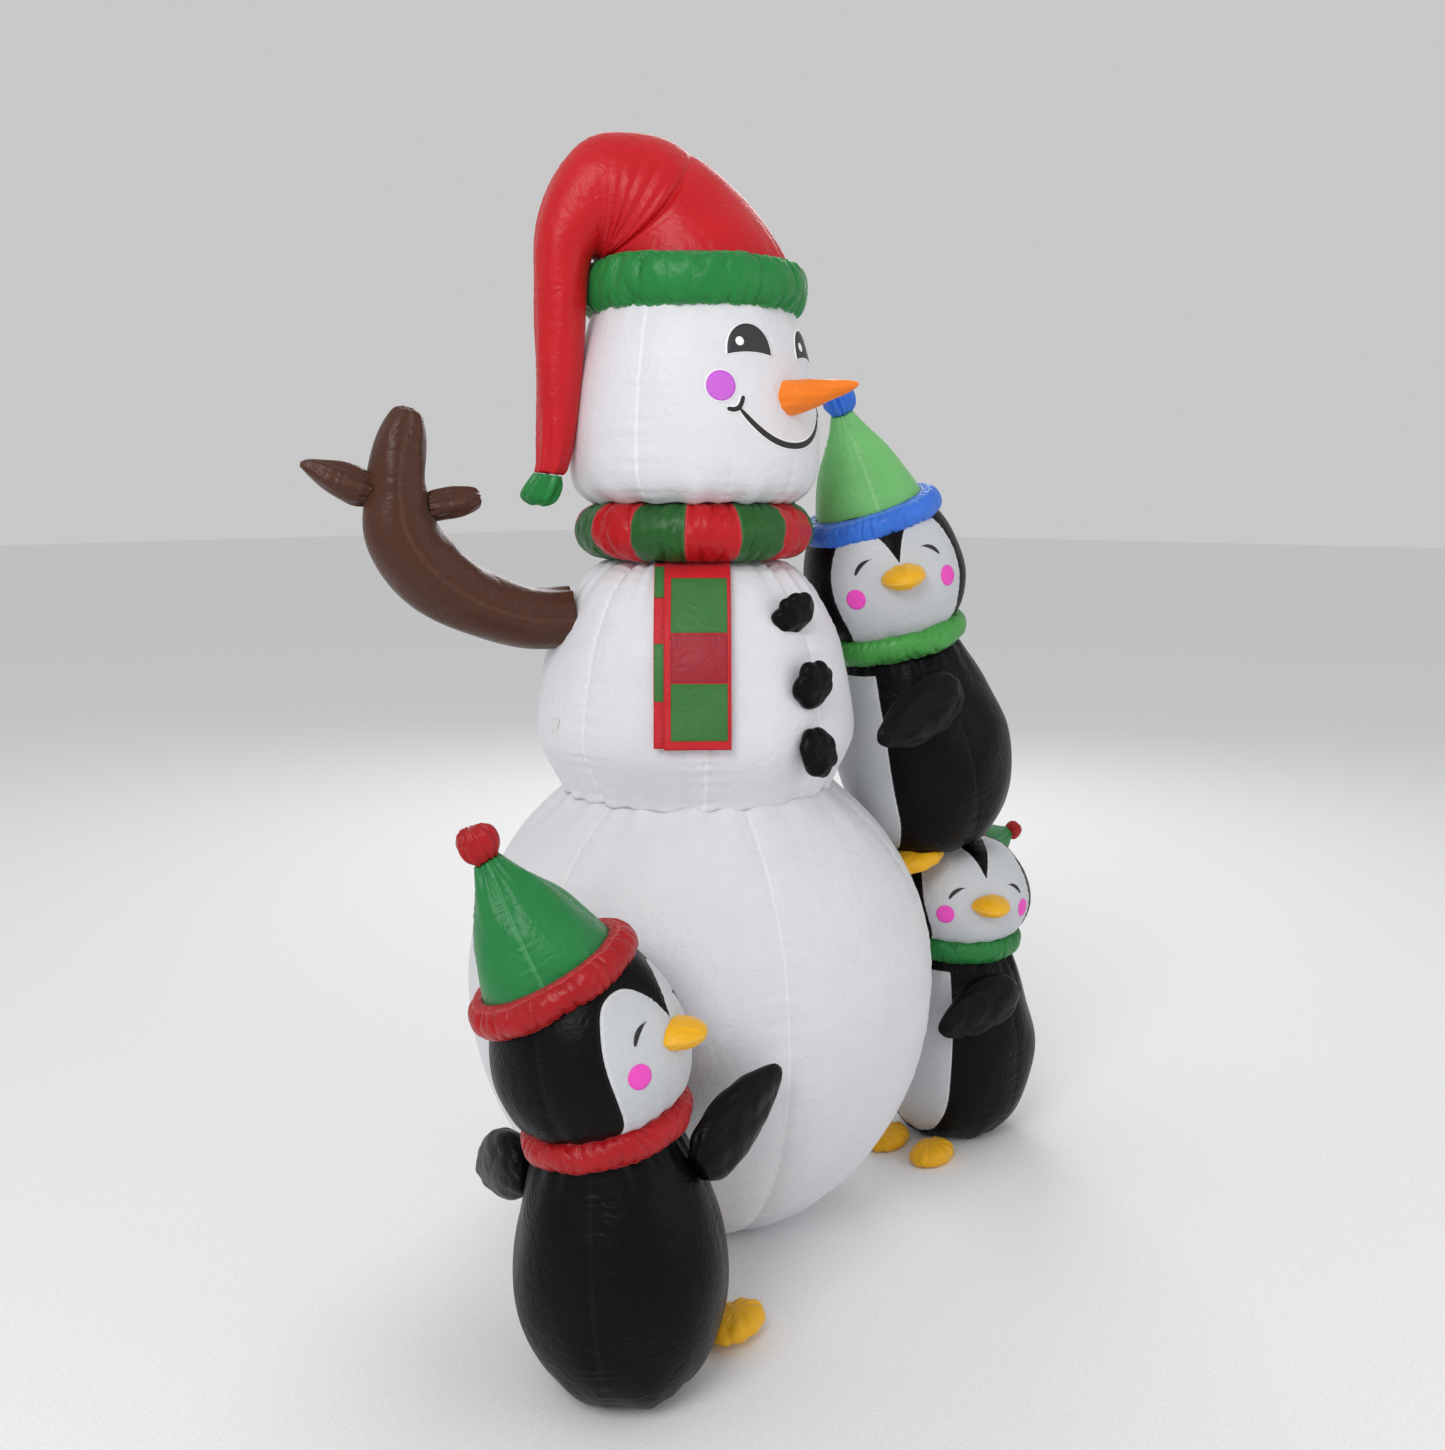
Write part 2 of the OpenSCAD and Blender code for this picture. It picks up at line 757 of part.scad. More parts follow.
module zip_arc(a0, a1, r_in, r_out, width) {
  translate([-width / 2, 0, ball_z])
    rotate([90, 0, 90])
      rotate([0, 0, a0])
        linear_extrude(width)
            polygon(concat(
              [for (i = [0:16]) let (a = (a1 - a0) * i / 16) r_out * [cos(a), sin(a)]],
              [for (i = [16:-1:0]) let (a = (a1 - a0) * i / 16) r_in * [cos(a), sin(a)]]));
}

module zipper_tape() {
  color("gainsboro") {
    zip_arc(zip_low, zip_high, ball_r + 0.3, ball_r + 1.5, zip_w);
    zip_arc(zip_low + 1, zip_high - 1, ball_r + 1.6, ball_r + 4, 6);
  }
}

slider_a = zip_high - 3; // where the slider rests, with the zipper shut
module at_slider() {
  translate([0, 0, ball_z])
    rotate([slider_a, 0, 0])
      translate([0, ball_r, 0])
        children();
}

module zipper_slider() {
  color("silver")
    at_slider() {
      difference() {
        translate([-6, 4.6, -8]) cube([12, 2.6, 16]);
        translate([-7, 7.5, 0]) cube([14, 1, 1]);
      }
      for (s = [-1, 1])
        translate([s * 3 - 1, 7.2, -2.5])
          difference() {
            cube([2, 6, 5]);
            translate([-1, 3.6, 2.5]) rotate([0, 90, 0]) cylinder(r = 1.35, h = 4);
          }
    }
}

module zipper_pull() {
  color("silver")
    at_slider() {
      translate([-4.2, 10.8, 0]) rotate([0, 90, 0]) cylinder(r = 1, h = 8.4);
      translate([-1.6, 9.9, -34]) cube([3.2, 1.8, 34.5]);
      translate([-4, 9.9, -46]) cube([8, 1.8, 13]);
    }
}

lower_ball();
middle_ball();
head();
hat();
hat_band();
hat_tip();
scarf_ring_red();
scarf_ring_green();
scarf_tail_front();
scarf_tail_back();
scarf_patches();
nose();
arm();
twigs();
buttons();
tether_tabs();
ground_straps();
strap_eyelets();
penguin1_body();
penguin1_belly();
penguin1_head();
penguin1_face();
penguin1_hat();
penguin1_hat_band();
penguin1_pompom();
penguin1_collar();
penguin1_beak();
penguin1_flippers();
penguin1_feet();
penguin2_body();
penguin2_belly();
penguin2_head();
penguin2_face();
penguin2_hat();
penguin2_hat_band();
penguin2_pompom();
penguin2_collar();
penguin2_beak();
penguin2_flippers();
penguin2_feet();
penguin3_body();
penguin3_belly();
penguin3_head();
penguin3_face();
penguin3_hat();
penguin3_hat_band();
penguin3_pompom();
penguin3_collar();
penguin3_beak();
penguin3_flippers();
penguin3_feet();
blower_front();
blower_rear();
blower_motor();
impeller();
light_cable();
light_bulbs();
zipper_tape();
zipper_slider();
zipper_pull();
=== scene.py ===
"""Inflatable yard snowman hugged by penguins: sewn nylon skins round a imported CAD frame.

Every piece is a skin of cloth worked out with numpy in metres, in the frame of the CAD model:
Z up, the snowman's face along -Y, the middle of its flat base at the origin.
"""

import logging
import math
from collections.abc import Sequence
from dataclasses import dataclass, field
from enum import Enum
from functools import cache

import bpy
import numpy as np
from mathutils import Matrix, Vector


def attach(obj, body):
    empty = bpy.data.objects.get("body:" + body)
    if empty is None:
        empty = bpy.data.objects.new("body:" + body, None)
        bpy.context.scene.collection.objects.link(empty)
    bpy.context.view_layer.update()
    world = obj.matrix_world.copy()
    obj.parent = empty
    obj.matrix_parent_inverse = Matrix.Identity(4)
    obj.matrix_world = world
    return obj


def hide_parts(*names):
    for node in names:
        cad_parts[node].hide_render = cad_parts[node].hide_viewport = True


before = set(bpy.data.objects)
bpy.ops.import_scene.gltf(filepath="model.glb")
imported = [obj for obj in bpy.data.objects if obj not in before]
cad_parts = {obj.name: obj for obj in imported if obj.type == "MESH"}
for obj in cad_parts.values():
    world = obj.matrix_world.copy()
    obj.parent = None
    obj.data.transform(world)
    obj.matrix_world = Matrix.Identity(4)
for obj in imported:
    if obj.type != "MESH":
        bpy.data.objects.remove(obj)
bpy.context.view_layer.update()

Array = np.ndarray
MM = 0.001
ROOT = "snowman"
TURN = 2.0 * math.pi
log = logging.getLogger("snowman")


# ---------------------------------------------------------------- curves and frames


def smooth(points: Sequence[Sequence[float]], steps: int = 4) -> Array:
    """Carry a Catmull-Rom curve through the given rows.

    Each stretch is the cubic whose slope at a row is half the step between that row's neighbours.

    Args:
        points: Rows of numbers that the curve passes through.
        steps: Number of new rows on each stretch.

    Returns:
        The rows of the curve, first and last rows included.
    """
    p = np.asarray(points, float)
    q = np.vstack([p[:1], p, p[-1:]])
    t = np.arange(steps)[None, :, None] / steps
    a, b, c, d = (q[i : len(q) - 3 + i][:, None, :] for i in range(4))
    cubic = 0.5 * (2 * b + (c - a) * t + (2 * a - 5 * b + 4 * c - d) * t**2 + (3 * b - a - 3 * c + d) * t**3)
    return np.vstack([cubic.reshape(-1, p.shape[1]), p[-1:]])


def shift(x: float, y: float, z: float) -> Array:
    """Return the 4 by 4 matrix of a move in millimetres."""
    m = np.eye(4)
    m[:3, 3] = np.array([x, y, z]) * MM
    return m


def turn(axis: str, degrees: float) -> Array:
    """Return the 4 by 4 matrix of a right-handed turn about a main axis."""
    c, s = math.cos(math.radians(degrees)), math.sin(math.radians(degrees))
    i, j = {"x": (1, 2), "y": (2, 0), "z": (0, 1)}[axis]
    m = np.eye(4)
    m[i, i], m[i, j], m[j, i], m[j, j] = c, -s, s, c
    return m


def scaled(k: float) -> Array:
    """Return the 4 by 4 matrix of an even scaling."""
    return np.diag([k, k, k, 1.0])


def lean(degrees: float, towards: float) -> Array:
    """Return the matrix that tilts upright things towards a direction given in degrees from +X."""
    return turn("z", towards) @ turn("y", degrees) @ turn("z", -towards)


def moved(points: Array, matrix: Array) -> Array:
    """Apply a 4 by 4 matrix to an array of points of any shape."""
    return points @ matrix[:3, :3].T + matrix[:3, 3]


def unit(v: Array) -> Array:
    """Return vectors of length one along the last axis."""
    return v / np.maximum(np.linalg.norm(v, axis=-1, keepdims=True), 1e-12)


@dataclass(frozen=True)
class Ripples:
    """A fixed random field of ripples that closes on itself once round.

    It is the sum of sine waves with whole numbers of waves round the skin, chosen waves per metre
    along it, and random phases, scaled to lie mostly between -1 and 1.
    """

    seed: int
    around: tuple[int, int]
    along: tuple[float, float]
    count: int = 10

    def at(self, angle: Array, metres: Array) -> Array:
        """Give the height of the field.

        Args:
            angle: Angle round the skin, in radians.
            metres: Place along the skin, in metres.

        Returns:
            The height at each place.
        """
        rng = np.random.default_rng(self.seed)
        total = np.zeros(np.broadcast(angle, metres).shape)
        for _ in range(self.count):
            k = rng.integers(self.around[0], self.around[1] + 1)
            m = rng.uniform(*self.along) * rng.choice((-1.0, 1.0))
            total += rng.uniform(0.6, 1.0) * np.sin(k * angle + TURN * m * metres + rng.uniform(0, TURN))
        return total / math.sqrt(0.5 * self.count) / 1.3


# ---------------------------------------------------------------- meshes


@dataclass
class Sheet:
    """A mesh in the making: points, faces, and numbers on each point."""

    points: Array
    faces: Array
    marks: dict[str, Array] = field(default_factory=dict)
    tips: list[tuple[int, ...]] = field(default_factory=list)

    def all_faces(self) -> list[tuple[int, ...]]:
        """Return the faces as a list of tuples, end fans included."""
        return [tuple(f) for f in self.faces.tolist()] + self.tips


def ringed(points: Array, marks: dict[str, Array], low_end: bool, high_end: bool) -> Sheet:
    """Join a grid of points into a tube that closes round its second axis.

    Args:
        points: Rings of points, shape (rows, cols, 3).
        marks: Numbers on each point, shape (rows, cols) each.
        low_end: Whether a fan closes the first ring.
        high_end: Whether a fan closes the last ring.

    Returns:
        The joined mesh.
    """
    rows, cols = points.shape[:2]
    i, j = np.meshgrid(np.arange(rows - 1), np.arange(cols), indexing="ij")
    k = (j + 1) % cols
    faces = np.stack([i * cols + j, i * cols + k, (i + 1) * cols + k, (i + 1) * cols + j], -1).reshape(-1, 4)
    flat = points.reshape(-1, 3)
    values = {name: v.reshape(-1) for name, v in marks.items()}
    tips: list[tuple[int, ...]] = []
    for wanted, ring, flip in ((low_end, 0, True), (high_end, rows - 1, False)):
        if not wanted:
            continue
        centre = len(flat)
        flat = np.vstack([flat, points[ring].mean(0)])
        values = {name: np.append(v, v[ring * cols : (ring + 1) * cols].mean()) for name, v in values.items()}
        here, after = ring * cols + np.arange(cols), ring * cols + (np.arange(cols) + 1) % cols
        first, second = (after, here) if flip else (here, after)
        tips += list(zip(first.tolist(), second.tolist(), [centre] * cols))
    return Sheet(flat, faces, values, tips)


def patch(points: Array, marks: dict[str, Array] | None = None) -> Sheet:
    """Join a grid of points into an open sheet, to be given a thickness later."""
    rows, cols = points.shape[:2]
    i, j = np.meshgrid(np.arange(rows - 1), np.arange(cols - 1), indexing="ij")
    faces = np.stack(
        [i * cols + j, i * cols + j + 1, (i + 1) * cols + j + 1, (i + 1) * cols + j], -1
    ).reshape(-1, 4)
    return Sheet(points.reshape(-1, 3), faces, {n: v.reshape(-1) for n, v in (marks or {}).items()})


def parted(sheet: Sheet, edge: Array) -> tuple[Sheet, Sheet]:
    """Cut a mesh along the line where a number on its points passes through nought.

    Each quad is split into triangles. A triangle that the line crosses is cut at the two points
    where the number, taken as even along each side, is nought.

    Args:
        sheet: The mesh to cut.
        edge: The number on each point.

    Returns:
        The part where the number is below nought, and the rest.
    """
    quads = sheet.faces
    tri = np.vstack([quads[:, [0, 1, 2]], quads[:, [0, 2, 3]]])
    if sheet.tips:
        tri = np.vstack([tri, np.array(sheet.tips)])
    edge = np.where(np.abs(edge) < 1e-7, 1e-7, edge)
    inside = edge[tri] < 0
    number = inside.sum(1)
    whole_in, whole_out = tri[number == 3], tri[number == 0]
    mixed, flags = tri[(number == 1) | (number == 2)], inside[(number == 1) | (number == 2)]
    lone_in = flags.sum(1) == 1
    odd = np.where(lone_in, np.argmax(flags, 1), np.argmin(flags, 1))
    order = (odd[:, None] + np.arange(3)) % 3
    a, b, c = np.take_along_axis(mixed, order, 1).T

    sides = np.sort(np.vstack([np.stack([a, b], 1), np.stack([a, c], 1)]), 1)
    unique, index = np.unique(sides, axis=0, return_inverse=True)
    index = index.reshape(-1)
    p, q = unique.T
    share = (edge[p] / (edge[p] - edge[q]))[:, None]
    points = np.vstack([sheet.points, sheet.points[p] * (1 - share) + sheet.points[q] * share])
    marks = {
        n: np.append(v, v[p] * (1 - share[:, 0]) + v[q] * share[:, 0]) for n, v in sheet.marks.items()
    }
    first = len(sheet.points) + index[: len(a)]
    second = len(sheet.points) + index[len(a) :]
    tip = np.stack([a, first, second], 1)
    rest = np.vstack([np.stack([first, b, c], 1), np.stack([first, c, second], 1)])
    double = np.concatenate([lone_in, lone_in])
    inner = np.vstack([whole_in, tip[lone_in], rest[~double]])
    outer = np.vstack([whole_out, tip[~lone_in], rest[double]])
    return tuple(compact(points, faces, marks) for faces in (inner, outer))


def compact(points: Array, faces: Array, marks: dict[str, Array]) -> Sheet:
    """Drop the points that no face uses."""
    used, renumbered = np.unique(faces, return_inverse=True)
    return Sheet(points[used], renumbered.reshape(faces.shape), {n: v[used] for n, v in marks.items()})


def outline_distance(outline: Array, x: Array, y: Array) -> Array:
    """Measure how far points are from a closed outline, negative inside it.

    Args:
        outline: Corners of the outline, shape (n, 2).
        x: First coordinate of the points.
        y: Second coordinate of the points.

    Returns:
        The signed distance of each point.
    """
    a, b = outline, np.roll(outline, -1, 0)
    p = np.stack([x, y], -1)[:, None, :]
    side = b - a
    along = np.clip(((p - a) * side).sum(-1) / np.maximum((side**2).sum(-1), 1e-12), 0, 1)
    near = np.linalg.norm(p - (a + along[..., None] * side), axis=-1).min(1)
    rises = (a[:, 1] > p[..., 1]) != (b[:, 1] > p[..., 1])
    drop = np.where(side[:, 1] == 0, 1e-12, side[:, 1])
    crossing = p[..., 0] < a[:, 0] + (p[..., 1] - a[:, 1]) * side[:, 0] / drop
    return np.where(((rises & crossing).sum(1) % 2) == 1, -near, near)


def facing_out(sheet: Sheet) -> Sheet:
    """Turn the faces over if the volume they close, counted from their middle, is negative."""
    p = sheet.points - sheet.points.mean(0)
    f = sheet.faces
    volume = np.einsum("ij,ij->i", p[f[:, 0]], np.cross(p[f[:, 1]], p[f[:, 2]])).sum()
    if f.shape[1] == 4:
        volume += np.einsum("ij,ij->i", p[f[:, 0]], np.cross(p[f[:, 2]], p[f[:, 3]])).sum()
    if volume < 0:
        return Sheet(sheet.points, f[:, ::-1], sheet.marks, [t[::-1] for t in sheet.tips])
    return sheet


# ---------------------------------------------------------------- finishes


def linear(code: str, alpha: float = 1.0) -> tuple[float, float, float, float]:
    """Turn an sRGB hex colour into linear numbers for a shader."""
    parts = [int(code[i : i + 2], 16) / 255 for i in (1, 3, 5)]
    r, g, b = (c / 12.92 if c <= 0.04045 else ((c + 0.055) / 1.055) ** 2.4 for c in parts)
    return r, g, b, alpha


def add_node(
    tree: bpy.types.NodeTree, kind: str, settings: dict[str, object] | None = None, inputs: dict | None = None
) -> bpy.types.Node:
    """Add one node to a material.

    Args:
        tree: The material's node tree.
        kind: The node's type name.
        settings: Properties to set on the node.
        inputs: Value or linked socket for each input, by its name or number.

    Returns:
        The new node.
    """
    made = tree.nodes.new(kind)
    for name, value in (settings or {}).items():
        setattr(made, name, value)
    for name, value in (inputs or {}).items():
        if isinstance(value, bpy.types.NodeSocket):
            tree.links.new(value, made.inputs[name])
        else:
            made.inputs[name].default_value = value
    return made


def blank(name: str) -> tuple[bpy.types.Material, bpy.types.NodeTree]:
    """Make an empty node material."""
    material = bpy.data.materials.new(name)
    material.use_nodes = True
    material.node_tree.nodes.clear()
    return material, material.node_tree


@dataclass(frozen=True)
class Nylon:
    """Nylon taffeta, woven from smooth filament yarn and pressed flat under hot rollers.

    It has a soft satin shine that spreads along every crease, a faint weave close to, and lets a
    little light through where it is pale. Seams show as a firmer line, because the turned-in
    allowance doubles the cloth behind it, with a row of thread stitches beside it.
    """

    name: str
    colour: str
    shaded: str
    roughness: float = 0.42
    sheen: float = 0.25
    glow: float = 0.0
    stitch: str = "#FFFFFF"
    seam_gain: float = 0.10
    specular: float = 0.28

    yarn_mm = 1.6  # real yarns are 0.15 mm apart: drawn coarser so that the weave shows at all
    crinkle_mm = 34.0  # crinkles left from the bag the figure was packed in
    stitch_mm = 3.2

    def material(self) -> bpy.types.Material:
        """Return the material, made once."""
        if self.name in bpy.data.materials:
            return bpy.data.materials[self.name]
        material, tree = blank(self.name)
        place = add_node(tree, "ShaderNodeTexCoord")
        mottle = add_node(tree, "ShaderNodeTexNoise", None, {
            "Vector": place.outputs["Object"], "Scale": 1 / (90 * MM), "Detail": 4.0, "Roughness": 0.6})
        tint = add_node(tree, "ShaderNodeMix", {"data_type": "RGBA"}, {
            "Factor": mottle.outputs["Fac"], 6: linear(self.shaded), 7: linear(self.colour)})

        seam = add_node(tree, "ShaderNodeAttribute", {"attribute_name": "seam"})
        run = add_node(tree, "ShaderNodeAttribute", {"attribute_name": "run"})
        allowance = add_node(tree, "ShaderNodeMapRange", {"interpolation_type": "SMOOTHSTEP"}, {
            "Value": seam.outputs["Fac"], "From Min": 2 * MM, "From Max": 5 * MM, "To Min": self.seam_gain,
            "To Max": 0.0})
        doubled = add_node(tree, "ShaderNodeMix", {"data_type": "RGBA"}, {
            "Factor": allowance.outputs["Result"], 6: tint.outputs[2], 7: linear(self.stitch)})
        beside = add_node(tree, "ShaderNodeMath", {"operation": "COMPARE"}, {
            0: seam.outputs["Fac"], 1: 2.6 * MM, 2: 0.7 * MM})
        beat = add_node(tree, "ShaderNodeMath", {"operation": "SINE"}, {
            0: add_node(tree, "ShaderNodeMath", {"operation": "MULTIPLY"}, {
                0: run.outputs["Fac"], 1: TURN / (self.stitch_mm * MM)}).outputs[0]})
        thread = add_node(tree, "ShaderNodeMath", {"operation": "GREATER_THAN"}, {0: beat.outputs[0], 1: -0.3})
        stitches = add_node(tree, "ShaderNodeMath", {"operation": "MULTIPLY"}, {
            0: beside.outputs[0], 1: thread.outputs[0]})
        faint = add_node(tree, "ShaderNodeMath", {"operation": "MULTIPLY"}, {
            0: stitches.outputs[0], 1: 0.35})
        sewn = add_node(tree, "ShaderNodeMix", {"data_type": "RGBA"}, {
            "Factor": faint.outputs[0], 6: doubled.outputs[2], 7: linear(self.stitch)})

        scale = TURN / (20 * self.yarn_mm * MM)
        warp = add_node(tree, "ShaderNodeTexWave", {"bands_direction": "X"}, {
            "Vector": place.outputs["UV"], "Scale": scale})
        weft = add_node(tree, "ShaderNodeTexWave", {"bands_direction": "Y"}, {
            "Vector": place.outputs["UV"], "Scale": scale})
        cloth = add_node(tree, "ShaderNodeMath", {"operation": "MULTIPLY"}, {
            0: warp.outputs["Fac"], 1: weft.outputs["Fac"]})
        weave = add_node(tree, "ShaderNodeBump", None, {
            "Height": cloth.outputs[0], "Strength": 0.25, "Distance": 0.08 * MM})
        crinkle = add_node(tree, "ShaderNodeTexNoise", None, {
            "Vector": place.outputs["Object"], "Scale": 1 / (self.crinkle_mm * MM), "Detail": 3.0,
            "Roughness": 0.55, "Distortion": 0.6})
        ridge = add_node(tree, "ShaderNodeMath", {"operation": "PINGPONG"}, {0: crinkle.outputs["Fac"], 1: 0.5})
        creased = add_node(tree, "ShaderNodeBump", None, {
            "Height": ridge.outputs[0], "Strength": 0.8, "Distance": 5.0 * MM, "Normal": weave.outputs["Normal"]})
        raised = add_node(tree, "ShaderNodeBump", None, {
            "Height": stitches.outputs[0], "Strength": 0.5, "Distance": 0.4 * MM,
            "Normal": creased.outputs["Normal"]})
        patchy = add_node(tree, "ShaderNodeMapRange", None, {
            "Value": mottle.outputs["Fac"], "To Min": self.roughness - 0.07, "To Max": self.roughness + 0.09})
        shader = add_node(tree, "ShaderNodeBsdfPrincipled", None, {
            "Base Color": sewn.outputs[2], "Roughness": patchy.outputs["Result"], "Normal": raised.outputs["Normal"],
            "IOR": 1.53, "Specular IOR Level": self.specular, "Sheen Weight": self.sheen, "Sheen Roughness": 0.45,
            "Subsurface Weight": self.glow, "Subsurface Radius": (0.03, 0.03, 0.032), "Subsurface Scale": 0.5})
        add_node(tree, "ShaderNodeOutputMaterial", None, {"Surface": shader.outputs[0]})
        return material


@dataclass(frozen=True)
class Print:
    """Matt screen print on nylon, for eyes, cheeks and mouths: flat ink with the weave under it."""

    name: str
    colour: str
    roughness: float = 0.55

    def material(self) -> bpy.types.Material:
        """Return the material, made once."""
        if self.name in bpy.data.materials:
            return bpy.data.materials[self.name]
        material, tree = blank(self.name)
        place = add_node(tree, "ShaderNodeTexCoord")
        grain = add_node(tree, "ShaderNodeTexNoise", None, {
            "Vector": place.outputs["Object"], "Scale": 1 / (6 * MM), "Detail": 2.0})
        ink = add_node(tree, "ShaderNodeHueSaturation", None, {
            "Color": linear(self.colour), "Value": add_node(tree, "ShaderNodeMapRange", None, {
                "Value": grain.outputs["Fac"], "To Min": 0.88, "To Max": 1.10}).outputs["Result"]})
        bump = add_node(tree, "ShaderNodeBump", None, {
            "Height": grain.outputs["Fac"], "Strength": 0.2, "Distance": 0.3 * MM})
        shader = add_node(tree, "ShaderNodeBsdfPrincipled", None, {
            "Base Color": ink.outputs["Color"], "Roughness": self.roughness, "Normal": bump.outputs["Normal"]})
        add_node(tree, "ShaderNodeOutputMaterial", None, {"Surface": shader.outputs[0]})
        return material


@dataclass(frozen=True)
class Webbing:
    """Polypropylene webbing, woven flat in ribs: matt, with a fine ladder of ridges across it."""

    name: str
    colour: str
    rib_mm: float = 1.5

    def material(self) -> bpy.types.Material:
        """Return the material, made once."""
        if self.name in bpy.data.materials:
            return bpy.data.materials[self.name]
        material, tree = blank(self.name)
        place = add_node(tree, "ShaderNodeTexCoord")
        ribs = add_node(tree, "ShaderNodeTexWave", {"bands_direction": "DIAGONAL"}, {
            "Vector": place.outputs["Object"], "Scale": TURN / (20 * self.rib_mm * MM), "Distortion": 0.4})
        tone = add_node(tree, "ShaderNodeHueSaturation", None, {
            "Color": linear(self.colour), "Value": add_node(tree, "ShaderNodeMapRange", None, {
                "Value": ribs.outputs["Fac"], "To Min": 0.82, "To Max": 1.0}).outputs["Result"]})
        bump = add_node(tree, "ShaderNodeBump", None, {
            "Height": ribs.outputs["Fac"], "Strength": 0.6, "Distance": 0.3 * MM})
        shader = add_node(tree, "ShaderNodeBsdfPrincipled", None, {
            "Base Color": tone.outputs["Color"], "Roughness": 0.8, "Sheen Weight": 0.2,
            "Normal": bump.outputs["Normal"]})
        add_node(tree, "ShaderNodeOutputMaterial", None, {"Surface": shader.outputs[0]})
        return material


@dataclass(frozen=True)
class Hard:
    """A moulded plastic or a metal: fine surface grain and uneven gloss, with a painted glow, an emission in its own
    colour that stands in for sparkle.
    """

    name: str
    colour: str
    roughness: float
    metallic: float = 0.0
    grain_mm: float = 1.2
    painted_glow: float = 0.0

    def material(self) -> bpy.types.Material:
        """Return the material, made once."""
        if self.name in bpy.data.materials:
            return bpy.data.materials[self.name]
        material, tree = blank(self.name)
        place = add_node(tree, "ShaderNodeTexCoord")
        grain = add_node(tree, "ShaderNodeTexNoise", None, {
            "Vector": place.outputs["Object"], "Scale": 1 / (self.grain_mm * MM), "Detail": 2.0})
        smear = add_node(tree, "ShaderNodeTexNoise", None, {
            "Vector": place.outputs["Object"], "Scale": 1 / (18 * MM), "Detail": 3.0})
        tone = add_node(tree, "ShaderNodeHueSaturation", None, {
            "Color": linear(self.colour), "Value": add_node(tree, "ShaderNodeMapRange", None, {
                "Value": smear.outputs["Fac"], "To Min": 0.9, "To Max": 1.1}).outputs["Result"]})
        gloss = add_node(tree, "ShaderNodeMapRange", None, {
            "Value": smear.outputs["Fac"], "To Min": self.roughness - 0.08, "To Max": self.roughness + 0.1})
        bump = add_node(tree, "ShaderNodeBump", None, {
            "Height": grain.outputs["Fac"], "Strength": 0.25, "Distance": 0.15 * MM})
        # The emission in the finish's own colour is a painted sparkle: the surface glows by itself.
        shader = add_node(tree, "ShaderNodeBsdfPrincipled", None, {
            "Base Color": tone.outputs["Color"], "Roughness": gloss.outputs["Result"], "Metallic": self.metallic,
            "Normal": bump.outputs["Normal"], "Emission Color": linear(self.colour),
            "Emission Strength": self.painted_glow})
        add_node(tree, "ShaderNodeOutputMaterial", None, {"Surface": shader.outputs[0]})
        return material


# ---------------------------------------------------------------- objects


def build(
    name: str,
    sheet: Sheet,
    material: bpy.types.Material,
    slot: str,
    stands_for: Sequence[str] = (),
    thick: float = 0.0,
    girth: float = 0.3,
) -> bpy.types.Object:
    """Turn a mesh in the making into a piece that rides with the snowman.

    The cloth's own coordinates are the angle round the skin times a fixed girth, and the metres
    along it. A face that crosses the line where the angle starts again gets one turn added.

    Args:
        name: Name of the piece.
        sheet: Its points, faces and marks.
        material: Its finish.
        slot: The finish's name in the part's record; not used.
        stands_for: CAD nodes that it replaces.
        thick: Thickness to give an open sheet, inwards, in metres.
        girth: Radius that turns an angle into metres of cloth.

    Returns:
        The new object.
    """
    mesh = bpy.data.meshes.new(name)
    faces = sheet.all_faces()
    mesh.from_pydata(sheet.points.tolist(), [], faces)
    mesh.polygons.foreach_set("use_smooth", np.ones(len(faces), bool))
    for mark in ("seam", "run"):
        values = sheet.marks.get(mark, np.full(len(sheet.points), 1.0))
        mesh.attributes.new(mark, "FLOAT", "POINT").data.foreach_set("value", values.astype(np.float32))
    corner = np.empty(len(mesh.loops), np.int32)
    mesh.loops.foreach_get("vertex_index", corner)
    sizes = np.array([len(f) for f in faces])
    owner = np.repeat(np.arange(len(faces)), sizes)
    angle = sheet.marks.get("angle", sheet.points[:, 0] / girth)[corner]
    low, high = np.full(len(faces), 1e9), np.full(len(faces), -1e9)
    np.minimum.at(low, owner, angle)
    np.maximum.at(high, owner, angle)
    wraps = (high - low > math.pi)[owner] & (angle < 0.5 * (low + high)[owner])
    run = sheet.marks.get("run", sheet.points[:, 2])[corner]
    uv = np.stack([(angle + TURN * wraps) * girth, run], 1)
    mesh.uv_layers.new(name="cloth").data.foreach_set("uv", uv.astype(np.float32).ravel())
    mesh.materials.append(material)
    mesh.update()
    piece = bpy.data.objects.new(name, mesh)
    bpy.context.scene.collection.objects.link(piece)
    if thick:
        wall = piece.modifiers.new("cloth", "SOLIDIFY")
        wall.thickness, wall.offset, wall.use_even_offset = thick, -1.0, False
    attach(piece, ROOT)
    if stands_for:
        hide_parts(*stands_for)
    log.info("%s: %d points, %d faces", name, len(sheet.points), len(faces))
    return piece


